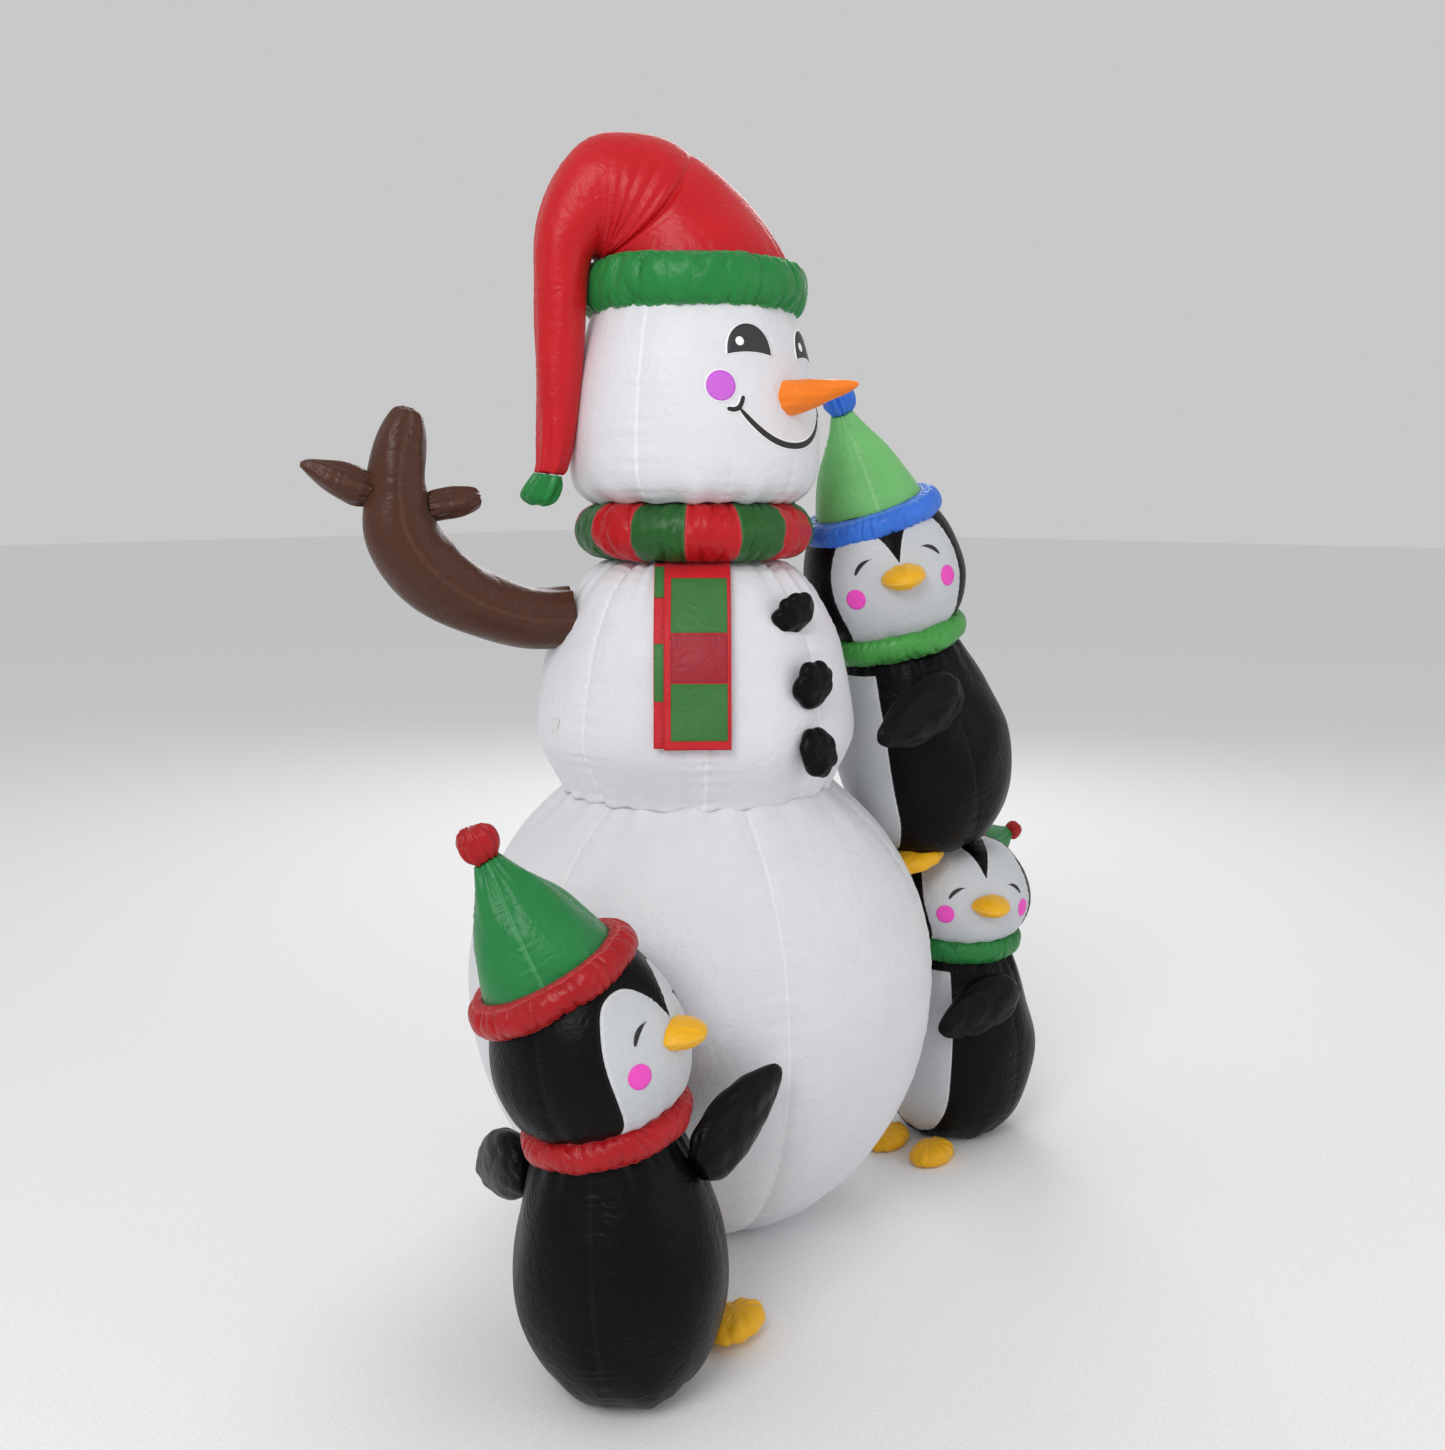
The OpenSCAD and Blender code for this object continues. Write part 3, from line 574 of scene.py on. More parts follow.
def seam_relief(off: Array, run: Array, depth: float, width: float, pucker: float, reach: float, pitch: float,
                seed: float = 0.0) -> Array:
    """Work out how a sewn seam shapes the cloth beside it.

    The height is minus depth times e to the minus of off over width, which is a sharp valley with
    full shoulders, plus pucker waves along the seam that fade as e to the minus of off over reach.
    The waves are a sine whose phase wanders, so no two puckers are alike.

    Args:
        off: Distance from the seam, in metres.
        run: Place along the seam, in metres.
        depth: Depth of the valley at the seam.
        width: Distance in which the valley fades.
        pucker: Height of the puckers.
        reach: Distance in which the puckers fade.
        pitch: Length of one pucker along the seam.
        seed: Shifts the pattern of the puckers.

    Returns:
        Height of the cloth over its plain form, in metres.
    """
    beat = TURN * run / pitch
    wander = 1.5 * np.sin(0.23 * beat + seed) + 1.1 * np.sin(0.61 * beat + 2.3 * seed)
    wave = np.sin(beat + wander) * (0.65 + 0.35 * np.sin(0.37 * beat + 3.1 * seed))
    return -depth * np.exp(-off / width) + pucker * wave * np.exp(-off / reach)


def puffed(sheet: Sheet, held: Array, growth: float, pressure: float, cap: float, stiffness: float = 0.4,
           frames: int = 14) -> Sheet:
    """Blow up a skin by cloth simulation, so that its slack gathers into folds by its stitched edges.

    The cloth wants to be larger than drawn by the growth, is pushed outwards by the pressure and
    keeps still where it is held. No point moves further than the cap.

    Args:
        sheet: The closed mesh.
        held: Which points the stitching holds, from 0 to 1.
        growth: Slack in the cloth, as a share of its size.
        pressure: Pressure inside.
        cap: Longest move of a point, in metres.
        stiffness: Resistance to bending: more gives broader folds.
        frames: Steps of the simulation.

    Returns:
        The same mesh with its points moved.
    """
    mesh = bpy.data.meshes.new("trial")
    mesh.from_pydata(sheet.points.tolist(), [], sheet.all_faces())
    trial = bpy.data.objects.new("trial", mesh)
    bpy.context.scene.collection.objects.link(trial)
    pins = trial.vertex_groups.new(name="pins")
    for level in np.unique(held):
        if level > 0:
            pins.add(np.flatnonzero(held == level).tolist(), float(level), "REPLACE")
    cloth = trial.modifiers.new("cloth", "CLOTH")
    cloth.point_cache.frame_start, cloth.point_cache.frame_end = 1, frames
    how = cloth.settings
    how.quality, how.mass, how.air_damping = 5, 0.15, 4.0
    how.tension_stiffness = how.compression_stiffness = how.shear_stiffness = 12.0
    how.bending_stiffness, how.bending_damping = stiffness, 0.6
    how.vertex_group_mass, how.pin_stiffness = "pins", 1.0
    how.shrink_min = -growth
    how.use_pressure, how.uniform_pressure_force = True, pressure
    how.effector_weights.gravity = 0.0
    cloth.collision_settings.use_collision = False
    for frame_number in range(1, frames + 1):
        bpy.context.scene.frame_set(frame_number)
    shape = trial.evaluated_get(bpy.context.evaluated_depsgraph_get()).data
    points = np.empty(len(sheet.points) * 3)
    shape.vertices.foreach_get("co", points)
    move = np.nan_to_num(points.reshape(-1, 3) - sheet.points)
    far = np.linalg.norm(move, axis=1, keepdims=True)
    move *= cap * np.tanh(far / cap) / np.maximum(far, 1e-9)
    bpy.data.objects.remove(trial)
    bpy.data.meshes.remove(mesh)
    bpy.context.scene.frame_set(1)
    log.info("puffed %d points, furthest %.1f mm", len(points) // 3, float(far.max()) * 1000)
    return Sheet(sheet.points + move, sheet.faces, sheet.marks, sheet.tips)


@dataclass
class Bag:
    """A closed skin of cloth: ellipses strung along a curve in the XZ plane.

    A row holds the ellipse's centre x and z, its first half axis as x and z, and its half width
    across, all in millimetres. The point at an angle is the centre, plus the first half axis times
    the cosine, plus the half width along Y times the sine. Relief is added along the normal.
    """

    rows: Array
    place: Array = field(default_factory=lambda: np.eye(4))
    seams: tuple[float, ...] = ()

    def __post_init__(self) -> None:
        """Measure the skin along its edge and find which way its normal points."""
        edge = self.rows[:, :2] + self.rows[:, 2:4]
        steps = np.linalg.norm(np.diff(edge, axis=0), axis=1)
        self.run = np.concatenate([[0.0], np.cumsum(np.maximum(steps, 1e-4))]) * MM
        self.length = float(self.run[-1])
        self.sign = 1.0
        a, s = np.meshgrid(np.linspace(0, TURN, 12, endpoint=False), np.linspace(0.2, 0.8, 9) * self.length)
        middle = self.plain(a, s) - self.centre(s)
        self.sign = 1.0 if (self.normal(a, s) * middle).sum() > 0 else -1.0

    def column(self, k: int, run: Array) -> Array:
        """Read one number of the rows at places along the skin."""
        return np.interp(run, self.run, self.rows[:, k])

    def girth(self, run: Array) -> Array:
        """Return the skin's mean radius, in metres."""
        return 0.5 * (np.hypot(self.column(2, run), self.column(3, run)) + self.column(4, run)) * MM

    def centre(self, run: Array) -> Array:
        """Return the middle of the ellipse, in metres, before it is placed."""
        return np.stack([self.column(0, run), 0 * run, self.column(1, run)], -1) * MM

    def plain(self, angle: Array, run: Array) -> Array:
        """Return points of the skin without relief, before it is placed."""
        c, s = np.cos(angle), np.sin(angle)
        x = self.column(0, run) + self.column(2, run) * c
        z = self.column(1, run) + self.column(3, run) * c
        return np.stack([x, self.column(4, run) * s, z], -1) * MM

    def normal(self, angle: Array, run: Array) -> Array:
        """Return the outward normal: the cross product of the slopes round and along the skin."""
        e, f = 0.01, 0.002
        around = self.plain(angle + e, run) - self.plain(angle - e, run)
        ahead, behind = np.clip(run + f, 0, self.length), np.clip(run - f, 0, self.length)
        return self.sign * unit(np.cross(around, self.plain(angle, ahead) - self.plain(angle, behind)))

    def off_seam(self, angle: Array, run: Array) -> Array:
        """Return the distance round the skin to the nearest lengthwise seam, in metres."""
        if not self.seams:
            return np.full(np.broadcast(angle, run).shape, 1.0)
        gaps = [np.abs((angle - math.radians(a) + math.pi) % TURN - math.pi) for a in self.seams]
        return np.min(gaps, 0) * self.girth(run)

    def relief(self, angle: Array, run: Array) -> Array:
        """Return the height of the cloth over its plain form, in metres."""
        return np.zeros(np.broadcast(angle, run).shape)

    def at(self, angle: Array, run: Array, lift: Array | float = 0.0) -> Array:
        """Return placed points of the skin, or of a layer lifted off it."""
        calm = np.clip(self.girth(run) / 0.03, 0, 1)
        high = (self.relief(angle, run) * calm + lift)[..., None]
        return moved(self.plain(angle, run) + self.normal(angle, run) * high, self.place)

    def cover(self, rows: int, cols: int, start: float = math.pi, low: float = 0.0, high: float | None = None,
              lift: float = 0.0, ends: tuple[bool, bool] = (True, True)) -> Sheet:
        """Lay a grid over the skin.

        Args:
            rows: Rings of points.
            cols: Points round each ring.
            start: Angle of the first column.
            low: First place along the skin, in metres.
            high: Last place, or the end of the skin.
            lift: Height over the skin.
            ends: Whether the first and last rings are closed.

        Returns:
            The mesh, closed round its second axis, faces outwards.
        """
        angle = start + np.linspace(0, TURN, cols, endpoint=False)
        a, s = np.meshgrid(angle, np.linspace(low, self.length if high is None else high, rows))
        marks = {"seam": self.off_seam(a, s), "run": s, "angle": a}
        return facing_out(ringed(self.at(a, s, lift), marks, *ends))

    def decal(self, outline: Array, angle: float, run: float, lift: float = 0.0011, rings: int = 7) -> Sheet:
        """Lay a thin printed shape over the skin.

        Rings of the outline, shrunk towards its middle, are laid over the skin; the last ring dips
        under it and a fan closes the back.

        Args:
            outline: Corners of the shape, in metres round and along the skin.
            angle: Place of its origin round the skin.
            run: Place of its origin along the skin.
            lift: Height over the skin.
            rings: Rings of points between the middle and the edge.

        Returns:
            The closed mesh.
        """
        middle = outline.mean(0)
        share = np.append(np.linspace(0.04, 1.0, rings), [1.0, 0.5])[:, None, None]
        flat = middle + share * (outline - middle)
        heights = np.append(np.full(rings, lift), [-0.002, -0.002])[:, None] + 0 * flat[..., 0]
        radius = self.girth(np.array(run))
        points = self.at(angle + flat[..., 0] / radius, run + flat[..., 1], heights)
        return facing_out(ringed(points, {"run": flat[..., 1], "angle": flat[..., 0] / 0.3}, True, True))


def turned(profile: Array) -> Array:
    """Turn a profile of radius and height into the rows of a round bag."""
    r, z = profile[:, 0], profile[:, 1]
    return np.stack([0 * r, z, r, 0 * r, r], 1)


def limb_rows(controls: Sequence[Sequence[float]], steps: int) -> Array:
    """Turn rows of x, z and two radii into ellipses square to the smooth curve through them."""
    p = smooth(controls, steps)
    ahead = np.vstack([p[1:], p[-1:]])[:, :2] - np.vstack([p[:1], p[:-1]])[:, :2]
    h = unit(ahead)
    return np.stack([p[:, 0], p[:, 1], -h[:, 1] * p[:, 2], h[:, 0] * p[:, 2], p[:, 3]], 1)


def fold_rows(controls: Sequence[Sequence[float]], steps: int) -> Array:
    """Turn rows of outer edge, inner edge and half width into ellipses between those edges."""
    p = smooth(controls, steps)
    middle, half = (p[:, 0:2] + p[:, 2:4]) / 2, (p[:, 0:2] - p[:, 2:4]) / 2
    return np.column_stack([middle, half, p[:, 4]])


@dataclass
class Roll:
    """A gathered band: a D-shaped tube of cloth round the Z axis, stitched in folds along both edges.

    A point is at the inner radius plus the depth times the cosine of the section angle, and half
    the height times its sine. Folds run across the band. They are deepest by the stitched edges,
    and lean and fork, because each is a random sum of waves round the band.
    """

    inner: float
    outer: float
    height: float
    place: Array
    folds: int = 44
    depth: float = 4.0
    seed: int = 1
    fullness: float = 1.0

    def points(self, around: Array, across: Array) -> Array:
        """Return points of the band at angles round it and across its section, in metres."""
        c, s = np.cos(across), np.sin(across)
        face = np.abs(np.clip(across / (0.5 * math.pi), -1, 1))
        front = np.where(np.abs(across) <= 0.5 * math.pi, 1.0, 0.0)
        coarse = Ripples(self.seed, (self.folds // 8, self.folds // 2), (-16.0, 16.0), 14)
        fine = Ripples(self.seed + 7, (self.folds // 2, self.folds), (-30.0, 30.0), 14)
        metres = across * self.height * MM / math.pi
        crumple = np.abs(coarse.at(around, metres)) ** 0.8 - 0.55
        edge = 0.45 + 0.75 * face**2
        edge = edge * (1 - face**8)
        high = front * self.depth * edge * (crumple + 0.4 * np.abs(fine.at(around, metres)) - 0.2)
        depth = (self.outer - self.inner) * np.sign(c) * np.abs(c) ** (1 / (1 + 0.35 * self.fullness))
        r = self.inner + np.maximum(depth, 0) + high * np.maximum(c, 0) ** 0.35
        z = 0.5 * self.height * s
        return moved(np.stack([r * np.cos(around), r * np.sin(around), z], -1) * MM, self.place)

    def cover(self, cols: int = 420, rows: int = 26) -> Sheet:
        """Lay a grid over the whole band, closed both ways."""
        across = np.concatenate([np.linspace(-0.5, 0.5, rows) * math.pi, np.linspace(0.5, 1.5, 4)[1:-1] * math.pi])
        around = np.linspace(0, TURN, cols, endpoint=False)
        a, v = np.meshgrid(around, across)
        points = self.points(a, v)
        n, m = a.shape
        i, j = np.meshgrid(np.arange(n), np.arange(m), indexing="ij")
        i2, j2 = (i + 1) % n, (j + 1) % m
        faces = np.stack([i * m + j, i * m + j2, i2 * m + j2, i2 * m + j], -1).reshape(-1, 4)
        off = 0.5 * self.height * MM * (1 - np.abs(np.sin(v)))
        marks = {"seam": off.ravel(), "run": (a * self.outer * MM).ravel(), "angle": a.ravel(),
                 "across": np.repeat(np.arange(float(n)), m),
                 "held": (np.cos(v) < 0.12).astype(float).ravel()}
        return facing_out(Sheet(points.reshape(-1, 3), faces, marks))

    def panels(self, ring: Sheet, count: int) -> list[Sheet]:
        """Cut the whole band into panels of equal span, each closed at its two ends.

        Args:
            ring: The band's grid, with its columns round the band.
            count: Number of panels; it divides the number of columns.

        Returns:
            The panels in order.
        """
        cols = int(np.count_nonzero(ring.marks["across"] == 0))
        grid = ring.points.reshape(-1, cols, 3)
        marks = {k: v.reshape(-1, cols) for k, v in ring.marks.items()}
        each = cols // count
        gap = np.minimum(np.arange(each + 1), np.arange(each, -1, -1)) * TURN / cols * self.outer * MM
        panels = []
        for i in range(count):
            pick = np.arange(i * each, (i + 1) * each + 1) % cols
            own = {"seam": np.minimum(marks["seam"][:, pick], gap).T, "run": marks["across"][:, pick].T * 0.006,
                   "angle": marks["across"][:, pick].T * 0 + (np.arange(each + 1) + i * each)[:, None] * TURN / cols}
            panels.append(facing_out(ringed(grid[:, pick].transpose(1, 0, 2), own, True, True)))
        return panels


# ---------------------------------------------------------------- finishes of this figure


class Cloth(Enum):
    """Every dyed nylon of the figure."""

    WHITE = Nylon("white coated nylon taffeta", "#E9E9ED", "#DBDBE1", 0.46, 0.06, 0.12, "#FFFFFF", 0.35)
    HAT_RED = Nylon("red nylon taffeta", "#D0121E", "#BA0D17", 0.38, 0.04, stitch="#F06A70")
    BAND_GREEN = Nylon("green nylon taffeta", "#1F8A3F", "#167534", 0.36, 0.06, stitch="#7CC48E")
    SCARF_RED = Nylon("scarf red nylon taffeta", "#CB0F1A", "#A80B14", 0.36, 0.04, stitch="#EE7077")
    SCARF_GREEN = Nylon("scarf green nylon taffeta", "#236324", "#1A511D", 0.38, 0.06, stitch="#6FA070")
    TAIL_RED = Nylon("scarf end red nylon taffeta", "#CE2029", "#BE1B25", 0.45, 0.1, stitch="#B5141E")
    TAIL_DARK = Nylon("doubled red nylon taffeta", "#A5202E", "#961C2A", 0.45, 0.1, stitch="#86162A")
    TAIL_GREEN = Nylon("scarf end green nylon taffeta", "#3C7A38", "#336D31", 0.45, 0.1, stitch="#2B6229")
    ORANGE = Nylon("orange nylon taffeta", "#FF8A22", "#F57A12", 0.42, 0.1, 0.12, "#FFC58C")
    BROWN = Nylon("brown nylon taffeta", "#502C1C", "#432416", 0.38, 0.10, stitch="#7A5646")
    BLACK = Nylon("black nylon taffeta", "#0B0B0D", "#070708", 0.36, 0.0, stitch="#2A2A2D", specular=0.1)
    PANEL = Nylon("pale grey nylon taffeta", "#CFD2D6", "#C3C6CB", 0.46, 0.1, 0.08)
    YELLOW = Nylon("yellow nylon taffeta", "#F5B918", "#E8A90F", 0.4, 0.12, 0.05, "#FFE08A")
    CAP_GREEN = Nylon("cap green nylon taffeta", "#228644", "#1A7439", 0.38, 0.06, stitch="#7CC48E")
    CAP_LIGHT = Nylon("light green nylon taffeta", "#7CC878", "#6CBB69", 0.4, 0.06, 0.08, "#C8F0C6")
    COLLAR_GREEN = Nylon("collar green nylon taffeta", "#23843C", "#1A6E31", 0.36, 0.06, stitch="#7CC48E")
    COLLAR_LIGHT = Nylon("light collar green nylon taffeta", "#4FA54C", "#3F913F", 0.36, 0.06, stitch="#A6DBA4")
    TRIM_RED = Nylon("trim red nylon taffeta", "#B80E16", "#990A11", 0.36, 0.06, stitch="#E9757A")
    TRIM_BLUE = Nylon("trim blue nylon taffeta", "#3C7DE6", "#2F6AD2", 0.36, 0.06, stitch="#A5C6FF")

    def material(self) -> bpy.types.Material:
        """Return the cloth's material."""
        return self.value.material()


class Ink(Enum):
    """Every printed colour of the faces."""

    CHARCOAL = Print("charcoal screen print", "#2E2E33")
    GLINT = Print("white screen print", "#FBFBFD")
    VIOLET = Print("violet screen print", "#CF62DC")
    PINK = Print("pink screen print", "#F24BC2")
    LASH = Print("black screen print", "#1B1A1D")

    def material(self) -> bpy.types.Material:
        """Return the ink's material."""
        return self.value.material()


# ---------------------------------------------------------------- snowman

FRONT = -90.0  # direction the snowman faces, in degrees from +X towards +Y
UPPER = shift(-8, 9, 0)  # everything above the lower ball stands a little off its axis


def smoothstep(x: Array, low: float, high: float) -> Array:
    """Rise smoothly from nought at low to one at high."""
    t = np.clip((x - low) / (high - low), 0, 1)
    return t * t * (3 - 2 * t)


def joined(sheets: Sequence[Sheet]) -> Sheet:
    """Put several meshes of the same marks into one."""
    sizes = np.cumsum([0] + [len(s.points) for s in sheets])
    faces = np.vstack([s.faces + n for s, n in zip(sheets, sizes)])
    tips = [tuple(int(k + n) for k in t) for s, n in zip(sheets, sizes) for t in s.tips]
    names = set.intersection(*(set(s.marks) for s in sheets))
    marks = {k: np.concatenate([s.marks[k] for s in sheets]) for k in names}
    return Sheet(np.vstack([s.points for s in sheets]), faces, marks, tips)


@dataclass
class LowerBall(Bag):
    """The big ball: six gores, its fuller lower half cut flat on the ground."""

    rows: Array = field(default_factory=lambda: LowerBall.profile())
    seams: tuple[float, ...] = tuple(FRONT + 30 + 60 * k for k in range(6))

    radius_mm = 489.0
    middle_mm = 508.0
    base_mm = 188.0
    waist_mm = 915.0
    fan_hole_mm = 75.0
    fan_from = np.array([0.0, 0.42201, 0.23])
    fan_axis = np.array([0.0, 0.88715, -0.46147])

    @staticmethod
    def profile() -> Array:
        """Work out the profile: a circle above the widest place, a taller ellipse below it."""
        r, mid = 489.0, 508.0
        low = mid / math.sqrt(1 - (188.0 / r) ** 2)
        a = np.linspace(math.asin(-mid / low), math.asin((915.0 - mid) / r), 120)
        z = mid + np.where(a < 0, low, r) * np.sin(a)
        return turned(np.stack([r * np.cos(a), z], 1))

    def relief(self, angle: Array, run: Array) -> Array:
        """Shape the gores, the puckers along their seams and the crease at the waist."""
        off = self.off_seam(angle, run)
        height = self.column(1, run) * MM
        h = seam_relief(off, run, 0.0045, 0.045, 0.0026, 0.045, 0.034, 1.0)
        h = h + seam_relief(off, run, 0.0035, 0.007, 0.0, 0.02, 0.03)
        below = 0.915 - height
        h += 0.0045 * Ripples(3, (16, 34), (0, 1.0)).at(angle, run) * np.exp(-below / 0.055)
        h += 0.004 * np.exp(-below / 0.020)
        h += 0.0030 * Ripples(4, (10, 26), (-2.0, 2.0)).at(angle, run) * np.exp(-height / 0.11)
        h += 0.0012 * Ripples(5, (2, 9), (-4.0, 4.0), 14).at(angle, run)
        back = np.abs((angle - 0.5 * math.pi + math.pi) % TURN - math.pi) * self.girth(run)
        return h * smoothstep(back, 0.03, 0.16) - 0.0012 * (1 - smoothstep(back, 0.015, 0.03))

    def make(self) -> None:
        """Build the ball's skin, with the round hole behind the fan."""
        sheet = self.cover(126, 376, start=-math.pi / 2)
        rel = sheet.points - self.fan_from
        along = rel @ self.fan_axis
        away = np.linalg.norm(rel - along[:, None] * self.fan_axis, axis=1)
        edge = np.where(along > -0.12, self.fan_hole_mm * MM - away, -0.05)
        skin, _ = parted(sheet, np.clip(edge, -0.05, 0.05))
        build("lower_ball_skin", skin, Cloth.WHITE.material(), "white_nylon", ["lower_ball"], 0.0016, 0.489)


@dataclass
class MiddleBall(Bag):
    """The middle ball: eight gores, with its neck hidden in the scarf."""

    rows: Array = field(default_factory=lambda: turned(np.vstack([smooth([
        (271, 915.4), (315, 994), (328, 1041), (320, 1108), (308, 1169), (295, 1222), (266, 1283), (228, 1340),
        (191, 1370), (158, 1379)], 10), [(158, 1488)]])))
    place: Array = field(default_factory=lambda: UPPER)
    seams: tuple[float, ...] = tuple(FRONT + 45 * k for k in range(8))

    def run_at(self, z_mm: float) -> float:
        """Return the place along the skin at a height."""
        return float(np.interp(z_mm, self.rows[:, 1], self.run))

    def relief(self, angle: Array, run: Array) -> Array:
        """Shape the gores, the seam puckers and the folds at the waist and under the scarf."""
        off = self.off_seam(angle, run)
        height = self.column(1, run) * MM
        h = seam_relief(off, run, 0.0038, 0.035, 0.0022, 0.036, 0.030, 2.0)
        h = h + seam_relief(off, run, 0.0028, 0.006, 0.0, 0.02, 0.03)
        up = height - 0.915
        h += 0.0045 * Ripples(13, (14, 30), (0, 1.0)).at(angle, run) * np.exp(-up / 0.05)
        h += 0.005 * np.exp(-up / 0.018)
        h += 0.0035 * Ripples(14, (18, 40), (-1.0, 1.0)).at(angle, run) * smoothstep(height, 1.27, 1.37)
        return h + 0.0011 * Ripples(15, (2, 9), (-5.0, 5.0), 14).at(angle, run)

    def make(self) -> None:
        """Build the ball's skin."""
        build("middle_ball_skin", self.cover(130, 400, start=math.radians(FRONT)), Cloth.WHITE.material(),
              "white_nylon", ["middle_ball"], girth=0.328)


@dataclass
class Head(Bag):
    """The head, with its printed face."""

    rows: Array = field(default_factory=lambda: turned(np.vstack([[(158, 1490)], smooth([
        (200, 1490), (236, 1517), (249, 1555), (250, 1609), (247, 1652), (237, 1721), (222, 1787), (206, 1839),
        (185, 1895), (146, 1942)], 10), [(60, 1950), (4, 1952)]])))
    place: Array = field(default_factory=lambda: UPPER)
    seams: tuple[float, ...] = (FRONT - 74.5, FRONT + 74.5, FRONT + 180)

    def run_at(self, z_mm: float) -> float:
        """Return the place along the skin at a height."""
        return float(np.interp(z_mm, self.rows[:, 1], self.run))

    def relief(self, angle: Array, run: Array) -> Array:
        """Shape the side seams, the darts at the neck and the gathers under the hat."""
        off = self.off_seam(angle, run)
        height = self.column(1, run) * MM
        h = seam_relief(off, run, 0.0032, 0.030, 0.0020, 0.032, 0.028, 3.0)
        gaps = [np.abs((angle - math.radians(FRONT + a) + math.pi) % TURN - math.pi) for a in (-33, 0, 33)]
        dart = np.min(gaps, 0) * self.girth(run)
        low = 1 - smoothstep(height, 1.52, 1.60)
        h += low * (-0.0035 * np.exp(-dart / 0.010) + 0.0010 * np.sin(run * 260) * np.exp(-dart / 0.02))
        h += 0.0035 * Ripples(23, (16, 36), (0, 1.0)).at(angle, run) * (1 - smoothstep(height, 1.49, 1.55))
        h += 0.0012 * Ripples(24, (12, 30), (-1.0, 1.0)).at(angle, run) * smoothstep(height, 1.80, 1.86)
        return h + 0.0009 * Ripples(25, (2, 8), (-5.0, 5.0), 14).at(angle, run)

    def mark(self, name: str, outline: Array, degrees: float, z_mm: float, ink: Ink, lift: float = 0.0011) -> None:
        """Print one shape on the face.

        Args:
            name: Name of the piece.
            outline: Corners of the shape, in metres.
            degrees: Its place round the head, from the middle of the face.
            z_mm: Height of its origin.
            ink: Its colour.
            lift: Height over the skin.
        """
        sheet = self.decal(outline, math.radians(FRONT + degrees), self.run_at(z_mm), lift)
        build(name, sheet, ink.material(), "white_nylon")

    def make(self) -> None:
        """Build the skin, eyes, cheeks and smile."""
        build("head_skin", self.cover(130, 360, start=math.radians(FRONT + 180)), Cloth.WHITE.material(),
              "white_nylon", ["head"], girth=0.25)
        t = np.linspace(0, TURN, 48, endpoint=False)
        round_ = np.stack([np.cos(t), np.sin(t)], 1)
        arch = np.linspace(0, math.pi, 33)
        lid = np.stack([46 * np.cos(arch), 58 * np.sin(arch) ** 0.80], 1)
        sill = np.stack([np.linspace(-44, 44, 16), 5.0 - 5.0 * (np.linspace(-1, 1, 16)) ** 2], 1)
        eye = np.vstack([lid, sill]) * MM
        rim = (eye - eye.mean(0)) * 1.10 + eye.mean(0)
        for side, name in ((-1, "right"), (1, "left")):
            self.mark(f"eye_rim_{name}", rim, side * 21.7, 1761, Ink.GLINT, 0.0008)
            self.mark(f"eye_{name}", eye, side * 21.7, 1761, Ink.CHARCOAL, 0.0014)
            self.mark(f"glint_{name}", round_ * (8.5 * MM) + np.array([-20, 24]) * MM, side * 21.7, 1761,
                      Ink.GLINT, 0.0020)
            self.mark(f"cheek_rim_{name}", round_ * (31.5 * MM), side * 37, 1703, Ink.GLINT, 0.0008)
            self.mark(f"cheek_{name}", round_ * (28.0 * MM), side * 37, 1703, Ink.VIOLET, 0.0014)
        a = np.linspace(-28.5, 28.5, 61)
        z = 1597 + (1661 - 1597) * np.abs(a / 28.5) ** 2.2
        bend = smooth([(-26, 1), (-13, -1), (-3, 3), (3, 12), (7, 24)], 4)
        for wider, ink, lift in ((7.0, Ink.GLINT, 0.0008), (0.0, Ink.LASH, 0.0014)):
            kind = "_rim" if wider else ""
            self.line(f"smile{kind}", a, z, 11.5 + wider, ink, lift)
            for side, name in ((-1, "right"), (1, "left")):
                self.line(f"dimple{kind}_{name}", side * (28.5 - bend[:, 0] / 4.3), 1661 + bend[:, 1],
                          9.0 + wider, ink, lift)

    def line(self, name: str, degrees: Array, z_mm: Array, width: float, ink: Ink, high: float) -> None:
        """Print a line that tapers to round ends.

        The line's edge runs half the width to each side of its middle, times the fourth root of
        one minus the fourth power of the place along it.
        """
        run = np.array([self.run_at(z) for z in z_mm])
        angle = np.radians(FRONT + degrees)
        across = np.stack([angle * 0.25, run], 1)
        heading = unit(np.gradient(across, axis=0))
        side = np.stack([-heading[:, 1], heading[:, 0]], 1)
        share = np.linspace(-1, 1, len(degrees))
        half = 0.5 * width * MM * np.maximum(1 - share**4, 0.02) ** 0.25
        section = np.array([-1, -0.5, 0, 0.5, 1, 1, -1.0])
        lift = np.array([high] * 5 + [-0.0018] * 2)
        flat = across[:, None, :] + side[:, None, :] * (half[:, None] * section)[..., None]
        points = self.at(flat[..., 0] / 0.25, flat[..., 1], lift[None, :] + 0 * flat[..., 0])
        sheet = facing_out(ringed(points, {"run": flat[..., 1], "angle": flat[..., 0]}, True, True))
        build(name, sheet, ink.material(), "white_nylon")


